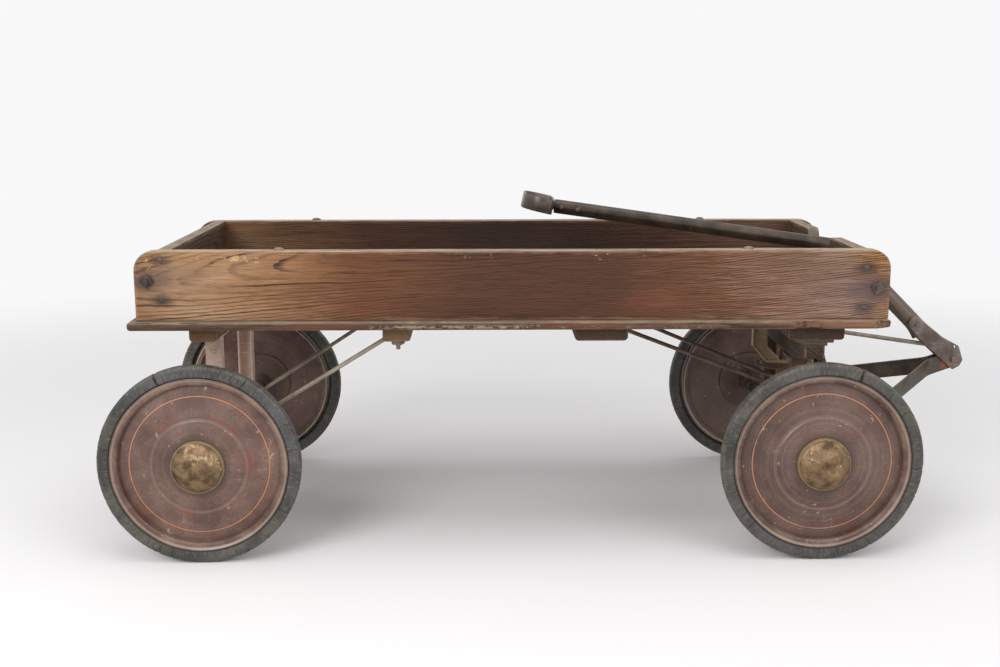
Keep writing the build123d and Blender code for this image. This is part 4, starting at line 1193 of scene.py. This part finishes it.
def worn_enamel(name, centre, seed, outward, tint, line):
    """Old maroon enamel with its lining, worn in rings about the wheel's middle."""
    finish, tree, here = new_finish(name)
    spot, reach = wheel_spot(tree, here, centre)
    facing = parts_of(tree, place(tree, "ShaderNodeTexCoord").outputs["Normal"])[1]
    outside = fade(tree, work_out(tree, "MULTIPLY", facing, outward), 0.0, 0.2)
    own = work_out_place(tree, "ADD", spot, (seed, seed, 0.0))
    patch = cloud(tree, own, 17, 6.0, 0.65)
    colour = blend(tree, fade(tree, patch, 0.3, 0.7), paint(84, 58, 50), paint(122, 96, 84))
    colour = darker(tree, 1.0, colour, (tint, tint, tint))
    ruddy = fade(tree, cloud(tree, own, 24, 4.0), 0.5, 0.7)
    colour = laid(tree, colour, ruddy, 0.32, paint(116, 68, 57))
    speckle = cloud(tree, own, 620, 4.0, 0.75)
    colour = darker(tree, fade(tree, speckle, 0.4, 0.66), colour, (0.62, 0.58, 0.56))
    hoops = place(
        tree, "ShaderNodeCombineXYZ", {0: work_out(tree, "MULTIPLY", reach, 520.0), 1: seed}
    ).outputs[0]
    rings = cloud(tree, hoops, 1.0, 2.0)
    colour = laid(tree, colour, fade(tree, rings, 0.5, 0.8), 0.3, paint(146, 124, 112))

    def band(radius, half, soft):
        """1 on a ring about the wheel's middle, with soft edges."""
        off = work_out(tree, "ABSOLUTE", work_out(tree, "SUBTRACT", reach, radius))
        return fall(tree, off, half, half + soft)

    # Lining: a red line and an orange stripe, on the outside alone and partly rubbed away
    kept = cloud(tree, own, 22, 4.0, 0.7)
    red_line = band(red_line_radius, red_line_half, 0.002)
    red_line = work_out(tree, "MULTIPLY", red_line, fade(tree, kept, 0.44, 0.6))
    red_line = work_out(tree, "MULTIPLY", work_out(tree, "MULTIPLY", red_line, outside), line)
    colour = blend(tree, red_line, colour, paint(128, 56, 44))
    stripe = work_out(tree, "MULTIPLY", band(stripe_radius, stripe_half, 0.0005), outside)
    left_over = work_out(tree, "MULTIPLY_ADD", fade(tree, kept, 0.3, 0.5), 0.5, 0.4)
    stripe = work_out(tree, "MULTIPLY", stripe, left_over)
    bright = fade(tree, cloud(tree, own, 14, 2.0), 0.42, 0.6)
    lining = blend(tree, bright, paint(180, 124, 96), paint(200, 122, 58))
    colour = blend(tree, stripe, colour, lining)
    # Wear on the raised ring, the rim and the rolled lip, painted light on the rim's inner face, and dirt
    # round the cap
    pressed = work_out(tree, "MULTIPLY", band(ring_radius, 0.0014, 0.0012), outside)
    colour = laid(tree, colour, pressed, 0.25, paint(134, 118, 110))
    scuffed = fade(tree, cloud(tree, own, 34, 5.0, 0.65), 0.4, 0.7)
    rim_wear = work_out(tree, "MULTIPLY", fade(tree, reach, 0.100, 0.103), scuffed)
    colour = laid(tree, colour, rim_wear, 0.4, paint(140, 118, 98))
    # Painted light: the rim's inner face, which the far wheels show, is laid nearly white
    inside = work_out(tree, "SUBTRACT", 1.0, outside)
    inner_rim_painted_light = work_out(tree, "MULTIPLY", inside, fade(tree, reach, 0.1035, 0.1055))
    colour = laid(tree, colour, inner_rim_painted_light, 0.9, paint(196, 186, 170))
    crease = band(rolled_lip_radius, 0.0006, 0.0008)
    colour = laid(tree, colour, crease, 0.4, paint(176, 156, 140))
    hub_dirt = fall(tree, reach, 0.034, 0.045)
    colour = laid(tree, colour, hub_dirt, 0.55, paint(58, 42, 34))
    # Chips and curled scratches through to the steel
    chips = fade(tree, cloud(tree, own, 130, 4.0, 0.6), 0.67, 0.7)
    colour = laid(tree, colour, chips, 0.7, paint(168, 148, 126))
    curl = cloud(tree, own, 46, 2.0, 0.5)
    scratch = work_out(tree, "ABSOLUTE", work_out(tree, "SUBTRACT", curl, 0.5))
    scratch = fall(tree, scratch, 0.002, 0.007)
    scratch = work_out(tree, "MULTIPLY", scratch, fade(tree, cloud(tree, own, 19, 2.0), 0.6, 0.66))
    colour = laid(tree, colour, scratch, 0.65, paint(176, 158, 138))
    dusty = use(tree, settled_dust, Amount=0.35)["Dust"]
    colour = blend(tree, dusty, colour, paint(150, 130, 114))
    height = work_out(tree, "MULTIPLY_ADD", chips, -0.8, work_out(tree, "MULTIPLY", rings, 0.25))
    height = work_out(tree, "MULTIPLY_ADD", speckle, 0.35, height)
    dull = work_out(tree, "MULTIPLY_ADD", patch, 0.3, 0.2)
    coated(tree, colour, dull, height, 0.4, 0.0004, Metallic=work_out(tree, "MULTIPLY", chips, 0.4))
    return finish


for number, wheel in enumerate(wheel_names):
    outward = -1 if wheel.endswith("near") else 1
    tint, line = (0.80, 0.15) if wheel.startswith("front") else (1.0, 0.5)
    enamel = worn_enamel(f"disc_enamel_{wheel}", wheel_centres[wheel], 0.31 * number, outward, tint, line)
    refinish(f"disc_{wheel}", enamel)

# Hub caps: spun brass domes, pushed over the hubs with a small rolled brim. They are tarnished
# olive and brown, dented by knocks and finely pitted, with bright rubs on the crown.
cap_rings = 34
cap_turns = 108
brim_width = 0.0022
brim_rise = 0.0012
brim_height = 0.004
cap_inset = 0.0004
foot_inset = 0.0002
dent_depth = 0.0034
ripple_depth = 0.0010
dent_edge = 0.006


def tarnished_brass(name, centre, seed):
    """Old bare brass, olive to brown, brighter where hands and knocks have rubbed it, with a painted
    highlight round its brim.
    """
    finish, tree, here = new_finish(name)
    spot, reach = wheel_spot(tree, here, centre)
    own = work_out_place(tree, "ADD", spot, (seed, 0.0, seed))
    patch = cloud(tree, own, 60, 5.0, 0.65)
    colour = blend(tree, fade(tree, patch, 0.32, 0.66), paint(80, 59, 40), paint(142, 116, 84))
    green = fade(tree, cloud(tree, own, 120, 4.0), 0.52, 0.7)
    colour = laid(tree, colour, green, 0.35, paint(112, 100, 64))
    pits = fade(tree, cloud(tree, own, 520, 4.0, 0.7), 0.56, 0.66)
    colour = laid(tree, colour, pits, 0.65, paint(58, 40, 26))
    curl = work_out(tree, "ABSOLUTE", work_out(tree, "SUBTRACT", cloud(tree, own, 75, 3.0), 0.5))
    scratch = fall(tree, curl, 0.004, 0.012)
    scratch = work_out(tree, "MULTIPLY", scratch, fade(tree, cloud(tree, own, 40, 2.0), 0.5, 0.6))
    colour = laid(tree, colour, scratch, 0.75, paint(214, 196, 160))
    edge = fade(tree, reach, 0.0285, 0.0315)
    colour = laid(tree, colour, edge, 0.5, paint(66, 46, 30))
    # Painted highlight: a thin bright line round the rolled brim
    brim = fade(tree, reach, 0.0318, 0.0326)
    colour = laid(tree, colour, brim, 0.7, paint(196, 172, 130))
    height = work_out(tree, "MULTIPLY_ADD", pits, -1.0, work_out(tree, "MULTIPLY", patch, 0.8))
    dull = work_out(tree, "MULTIPLY_ADD", patch, 0.34, 0.2)
    coated(tree, colour, dull, height, 0.35, 0.0006, Metallic=work_out(tree, "MULTIPLY_ADD", pits, -0.4, 0.6))
    return finish


for number, wheel in enumerate(wheel_names):
    low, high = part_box(f"cap_{wheel}")
    centre = (low + high) / 2
    outward = -1 if wheel.endswith("near") else 1
    base_y = high.y if outward < 0 else low.y
    cap_radius = (high.x - low.x) / 2
    rise = high.y - low.y
    dome = rise - brim_height
    ball = (cap_radius**2 + dome**2) / (2 * dome)
    cap_net = bmesh.new()
    rings = []
    for ring in range(cap_rings + 1):
        reach = cap_radius * ring / cap_rings
        row = []
        for step in range(1 if ring == 0 else cap_turns):
            turn = 2 * math.pi * step / cap_turns
            x, z = reach * math.cos(turn), reach * math.sin(turn)
            up = rise - ball + math.sqrt(ball**2 - reach**2)
            brim = max(0, 1 - (cap_radius - reach) / brim_width)
            up += brim_rise * math.sin(math.pi * min(1, brim)) if brim else 0
            spot = Vector((x * 55 + 9 * number, z * 55, 2.5 * number))
            dent = max(0, noise.noise(spot) - 0.12) * dent_depth
            dent += max(0, noise.noise(spot * 2.6)) * ripple_depth
            dent *= min(1, (cap_radius - reach) / dent_edge)
            out = base_y + outward * (up - dent - cap_inset)
            row.append(cap_net.verts.new((centre.x + x, out, centre.z + z)))
        rings.append(row)
    foot_y = base_y + outward * foot_inset
    rings.append([cap_net.verts.new((point.co.x, foot_y, point.co.z)) for point in rings[-1]])
    for inner, outer in zip(rings, rings[1:]):
        for step in range(cap_turns):
            after = (step + 1) % cap_turns
            if len(inner) == 1:
                cap_net.faces.new((inner[0], outer[step], outer[after]))
            else:
                cap_net.faces.new((inner[step], outer[step], outer[after], inner[after]))
    cap_net.faces.new(rings[-1])
    brass = tarnished_brass(f"cap_brass_{wheel}", wheel_centres[wheel], 0.21 * number)
    joinery(cap_net, f"hub_cap_{wheel}", brass, f"wheel_{wheel}", "cap_brass", f"cap_{wheel}", sharp=50)

# Tongue: a steel tube that runs back over the box from its bend, oval and a little deeper down
# the neck, with its mouth opened out over the front gear. Handling has left it a dark, smooth
# brown grey, and lower down the neck its colour is laid paler and browner.
tube_low, tube_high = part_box("tongue_tube")
tongue_slope = math.radians(8.13)
neck_slope = math.radians(45.0)
tongue_half_width = (tube_high.y - tube_low.y) / 2
tongue_half_height = 0.0097
neck_half_height = 0.0118
mouth_half_height = 0.0135
bend_radius = 0.044
tongue_tail = Vector((0.002, 0, 0.4286))
tongue_corner = Vector((0.402, 0, 0.3715))
neck_length = 0.170
bend_tangent = bend_radius * math.tan((neck_slope - tongue_slope) / 2)
run_length = (tongue_corner - tongue_tail).length - bend_tangent
bend_length = bend_radius * (neck_slope - tongue_slope)
neck_run = neck_length - bend_tangent


def down_slope(slope):
    """The way that the tube runs at a slope."""
    return Vector((math.cos(slope), 0, -math.sin(slope)))


def off_slope(slope):
    """The way that the tube's back faces at a slope."""
    return Vector((math.sin(slope), 0, math.cos(slope)))


def tongue_place(along):
    """The tube's middle and its slope this far along it from its tail."""
    if along < run_length:
        return tongue_tail + down_slope(tongue_slope) * along, tongue_slope
    if along < run_length + bend_length:
        slope = tongue_slope + (along - run_length) / bend_radius
        start = tongue_tail + down_slope(tongue_slope) * run_length
        centre = start - off_slope(tongue_slope) * bend_radius
        return centre + off_slope(slope) * bend_radius, slope
    start = tongue_corner + down_slope(neck_slope) * bend_tangent
    rest = along - run_length - bend_length
    return start + down_slope(neck_slope) * rest, neck_slope


tube_turns = 48
tube_steps = 150
tube_length = run_length + bend_length + neck_run
steps = [tube_length * i / tube_steps for i in range(tube_steps + 1)]
tube_wall = 0.0018
tube_lip = 0.012
tube_inset = 0.0001
lip_ease = 0.0003
deepening_length = 0.06
mouth_length = 0.022
mouth_drop = 0.003
# Columns: distance along, how far the section lies inside the tube's outer face
sections = [(tube_lip, tube_wall), (0.0, tube_wall)]
sections += [(0.0, lip_ease)] + [(along, 0.0) for along in steps[1:-1]] + [(tube_length, lip_ease)]
sections += [(tube_length, tube_wall), (tube_length - 2 * tube_lip, tube_wall)]
tube_net = bmesh.new()
rings = []
for along, inset in sections:
    middle, slope = tongue_place(along)
    deep = min(1, max(0, (along - run_length) / deepening_length))
    flare = max(0, (along - tube_length + mouth_length) / mouth_length) ** 2
    half_height = tongue_half_height + (neck_half_height - tongue_half_height) * deep
    half_height += (mouth_half_height - neck_half_height) * flare - inset
    across = off_slope(slope)
    row = []
    for step in range(tube_turns):
        turn = 2 * math.pi * step / tube_turns
        side = math.cos(turn)
        rise = math.sin(turn)
        uneven = 1 + 0.012 * noise.noise(Vector((along * 30, side * 2, rise * 2)))
        at = middle + across * rise * half_height * uneven - across * mouth_drop * flare
        at.y += side * (tongue_half_width - inset - tube_inset)
        row.append(tube_net.verts.new(at))
    rings.append(row)
for first, second in zip(rings, rings[1:]):
    for step in range(tube_turns):
        after = (step + 1) % tube_turns
        tube_net.faces.new((first[step], first[after], second[after], second[step]))
tube_net.faces.new(rings[0])
tube_net.faces.new(rings[-1])
tongue_steel = old_iron(
    "tongue_steel_worn",
    paint(42, 34, 28),
    paint(78, 65, 54),
    rust=0.15,
    dust=0.1,
    metal=0.5,
    shine=0.36,
    paler=(0.375, 0.315, paint(112, 97, 86)),
)
joinery(tube_net, "tongue_bar", tongue_steel, "tongue", "tongue_steel", "tongue_tube", sharp=50)

# Fork and handle: two pressed ears riveted over the tongue's mouth, and a strap bent into a flat
# loop for the hand, its ends inside the tongue. Both are worn steel, the fork rubbed paler.
fork_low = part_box("fork_near")[0]
fork_steel = old_iron(
    "fork_steel",
    paint(82, 70, 64),
    paint(134, 119, 110),
    rust=0.15,
    dust=0.25,
    metal=0.45,
    shine=0.4,
    spots=[(pivot.x - 0.007, fork_low.y, pivot.z - 0.011, 0.008)],
)
strap_steel = old_iron(
    "strap_steel",
    paint(58, 49, 45),
    paint(108, 96, 89),
    rust=0.15,
    dust=0.15,
    metal=0.55,
    shine=0.36,
)
ear_ease = 0.0007
rivet_ease = 0.0004
loop_ease = 0.0005
for node in ("fork_near", "fork_far"):
    eased(node, f"{node}_ear", fork_steel, "tongue_steel", ear_ease)
for node in ("fork_rivets", "handle_rivets", "pivot_pin"):
    eased(node, f"{node}_heads", fork_steel, "tongue_steel", rivet_ease)
eased("handle_strap", "handle_loop", strap_steel, "tongue_steel", loop_ease)

# Nails and bolts: cut nails of dark iron through the side boards into the end boards, and
# round-headed bolts down through the side boards' top edges. Each head was hammered by hand, so
# it differs a little from the next in size and is uneven.
studs, given = shape_rule(
    "stud_heads",
    [
        ("Geometry", "Geometry", None),
        ("Head Radius", "Float", 0.003),
        ("Head Rise", "Float", 0.001),
        ("Batter", "Float", 0.0004),
        ("Seed", "Int", 0),
        ("Iron", "Material", None),
    ],
)
tree = studs
head = place(tree, "GeometryNodeMeshUVSphere", {"Segments": 28, "Rings": 14, "Radius": 1.0}).outputs[0]
facing = place(tree, "GeometryNodeInputNormal").outputs[0]
upright = place(tree, "FunctionNodeAlignRotationToVector", {"Vector": facing}, axis="Z").outputs[0]
feeds = {2: 0.9, 3: 1.08, "Seed": given["Seed"]}
size = place(tree, "FunctionNodeRandomValue", feeds, data_type="FLOAT").outputs[1]
width = work_out(tree, "MULTIPLY", given["Head Radius"], size)
scale = place(tree, "ShaderNodeCombineXYZ", {0: width, 1: width, 2: given["Head Rise"]}).outputs[0]
heads = place(
    tree,
    "GeometryNodeInstanceOnPoints",
    {"Points": given["Geometry"], "Instance": head, "Rotation": upright, "Scale": scale},
).outputs[0]
heads = place(tree, "GeometryNodeRealizeInstances", {"Geometry": heads}).outputs[0]
at = place(tree, "GeometryNodeInputPosition").outputs[0]
bumps = place(tree, "ShaderNodeTexNoise", {"Vector": at, "Scale": 320.0, "Detail": 2.0}).outputs["Color"]
bumps = work_out_place(tree, "SUBTRACT", bumps, (0.5, 0.5, 0.5))
bumps = scaled(tree, bumps, given["Batter"])
heads = place(tree, "GeometryNodeSetPosition", {"Geometry": heads, "Offset": bumps}).outputs[0]
heads = place(tree, "GeometryNodeSetMaterial", {"Geometry": heads, "Material": given["Iron"]}).outputs[0]
place(tree, "NodeGroupOutput", {"Geometry": heads})


def stud_places(name, places, facing):
    """A mesh of one tiny face at each place, turned the way that its stud's head faces."""
    net = bmesh.new()
    way = Vector(facing)
    first = way.orthogonal().normalized() * 0.0001
    second = way.cross(first)
    for spot in places:
        thirds = ((1, 0), (-0.5, 0.86), (-0.5, -0.86))
        net.faces.new([net.verts.new(Vector(spot) + first * a + second * b) for a, b in thirds])
    mesh = bpy.data.meshes.new(name)
    net.to_mesh(mesh)
    net.free()
    return mesh


nail_iron = old_iron("nail_iron", paint(38, 31, 28), paint(94, 82, 74), rust=0.1, dust=0.15, metal=0.4)
bolt_iron = old_iron("bolt_iron", paint(72, 62, 54), paint(134, 120, 106), rust=0.2, dust=0.3, metal=0.4)
bolt_x = (-0.351, 0.235)
nail_sizes = {"Head Radius": 0.0031, "Head Rise": 0.0012, "Batter": 0.0006, "Seed": 3, "Iron": nail_iron}
bolt_sizes = {"Head Radius": 0.0066, "Head Rise": 0.0042, "Batter": 0.0004, "Seed": 5, "Iron": bolt_iron}
nail_sink = 0.0004
bolt_sink = 0.0006
side_near_low, side_near_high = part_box("side_board_near")
side_far_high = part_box("side_board_far")[1]
board_middle = (side_near_low.y + side_near_high.y) / 2
for side_name, outward in (("near", -1), ("far", 1)):
    face_y = outward * (side_far_high.y - nail_sink)
    nails = stud_places(f"nails_{side_name}", [(x, face_y, z) for x, z in nail_places], (0, outward, 0))
    heads = grown_from(studs, f"nails_{side_name}", nail_sizes, nails)
    joinery(heads, f"nail_heads_{side_name}", nail_iron, "box", "frame_steel", sharp=60)
    top = side_near_high.z - bolt_sink
    bolts = stud_places(f"bolts_{side_name}", [(x, -outward * board_middle, top) for x in bolt_x], (0, 0, 1))
    heads = grown_from(studs, f"bolts_{side_name}", bolt_sizes, bolts)
    joinery(heads, f"bolt_heads_{side_name}", bolt_iron, "box", "frame_steel", sharp=60)

# Tie rods and nuts: an iron rod near each end of the box, threaded at both ends, draws its sides
# together with two square nuts. Another nut sits under the flat tab of each stay rod, where the
# bolt's end stands out below. The nuts are chamfered and rusty, and each stopped at its own turn.
nut_iron = old_iron("nut_iron", paint(40, 34, 32), paint(92, 81, 74), rust=0.2, dust=0.3, metal=0.3)
nut_chamfer = 0.0009


def turned_bar(net, start, end, radius, other=None, sides=28):
    """Adds a round bar, tapered where it has another radius at its end."""
    way = Vector(end) - Vector(start)
    lie = way.to_track_quat("Z", "Y").to_matrix().to_4x4()
    bmesh.ops.create_cone(
        net,
        cap_ends=True,
        segments=sides,
        radius1=radius,
        radius2=radius if other is None else other,
        depth=way.length,
        matrix=Matrix.Translation((Vector(start) + Vector(end)) / 2) @ lie,
    )


def square_nut(net, place_at, way, half, thickness, turn):
    """Adds a square nut with chamfered corners, its seat at a place and its axis along a way."""
    lie = Vector(way).to_track_quat("Z", "Y").to_matrix().to_4x4()
    middle = Vector(place_at) + Vector(way) * thickness / 2
    size = Matrix.Diagonal((2 * half, 2 * half, thickness, 1))
    nut = bmesh.ops.create_cube(
        net, size=1, matrix=Matrix.Translation(middle) @ lie @ Matrix.Rotation(turn, 4, "Z") @ size
    )
    rims = list({edge for point in nut["verts"] for edge in point.link_edges})
    bmesh.ops.bevel(net, geom=rims, offset=nut_chamfer, segments=2, affect="EDGES")


tie_rod_radius = 0.003
tie_nut_half = 0.0066
tie_nut_thickness = 0.0042
rod_end_gap = 0.0004
for end, turn in (("rear", math.radians(42)), ("front", math.radians(28))):
    low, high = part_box(f"tie_rod_{end}")
    middle = (low + high) / 2
    tie_net = bmesh.new()
    near_end = (middle.x, low.y + rod_end_gap, middle.z)
    far_end = (middle.x, high.y - rod_end_gap, middle.z)
    turned_bar(tie_net, near_end, far_end, tie_rod_radius)
    for outward, face_y in ((-1, side_near_low.y), (1, side_far_high.y)):
        seat = (middle.x, face_y, middle.z)
        square_nut(tie_net, seat, (0, outward, 0), tie_nut_half, tie_nut_thickness, turn)
    joinery(tie_net, f"tie_bar_{end}", nut_iron, "box", "frame_steel", f"tie_rod_{end}")

tab_half_length = 0.016
tab_reach = 0.0045
tab_nut_half = 0.0068
tab_nut_thickness = 0.0048
bolt_end_start = 0.0046
bolt_end_stop = 0.0112
bolt_end_radii = (0.0030, 0.0026)
nut_gap = 0.0001
# Columns: node, its bolt's x, turn of its nut
tab_bolts = [
    ("rear_rod_near", -0.2065, 0.35),
    ("rear_rod_far", -0.2065, 1.1),
    ("front_rod_near", 0.0715, 0.8),
    ("front_rod_far", 0.0715, 0.15),
]
for node, bolt_place, turn in tab_bolts:
    low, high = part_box(node)
    tab = [
        point.co
        for point in wagon_nodes[node].data.vertices
        if abs(point.co.x - bolt_place) < tab_half_length and point.co.z > high.z - tab_reach
    ]
    tab_low = min(co.z for co in tab)
    tab_y = (min(co.y for co in tab) + max(co.y for co in tab)) / 2
    seat = Vector((bolt_place, tab_y, tab_low + nut_gap))
    nut_net = bmesh.new()
    square_nut(nut_net, seat, (0, 0, -1), tab_nut_half, tab_nut_thickness, turn)
    bolt_start = seat + Vector((0, 0, -bolt_end_start))
    bolt_stop = seat + Vector((0, 0, -bolt_end_stop))
    turned_bar(nut_net, bolt_start, bolt_stop, *bolt_end_radii)
    joinery(nut_net, f"{node}_nut", bolt_iron, "box", "frame_steel")

dressed_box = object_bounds()
[[list(corner) for corner in box] for box in (solids_box, dressed_box)]
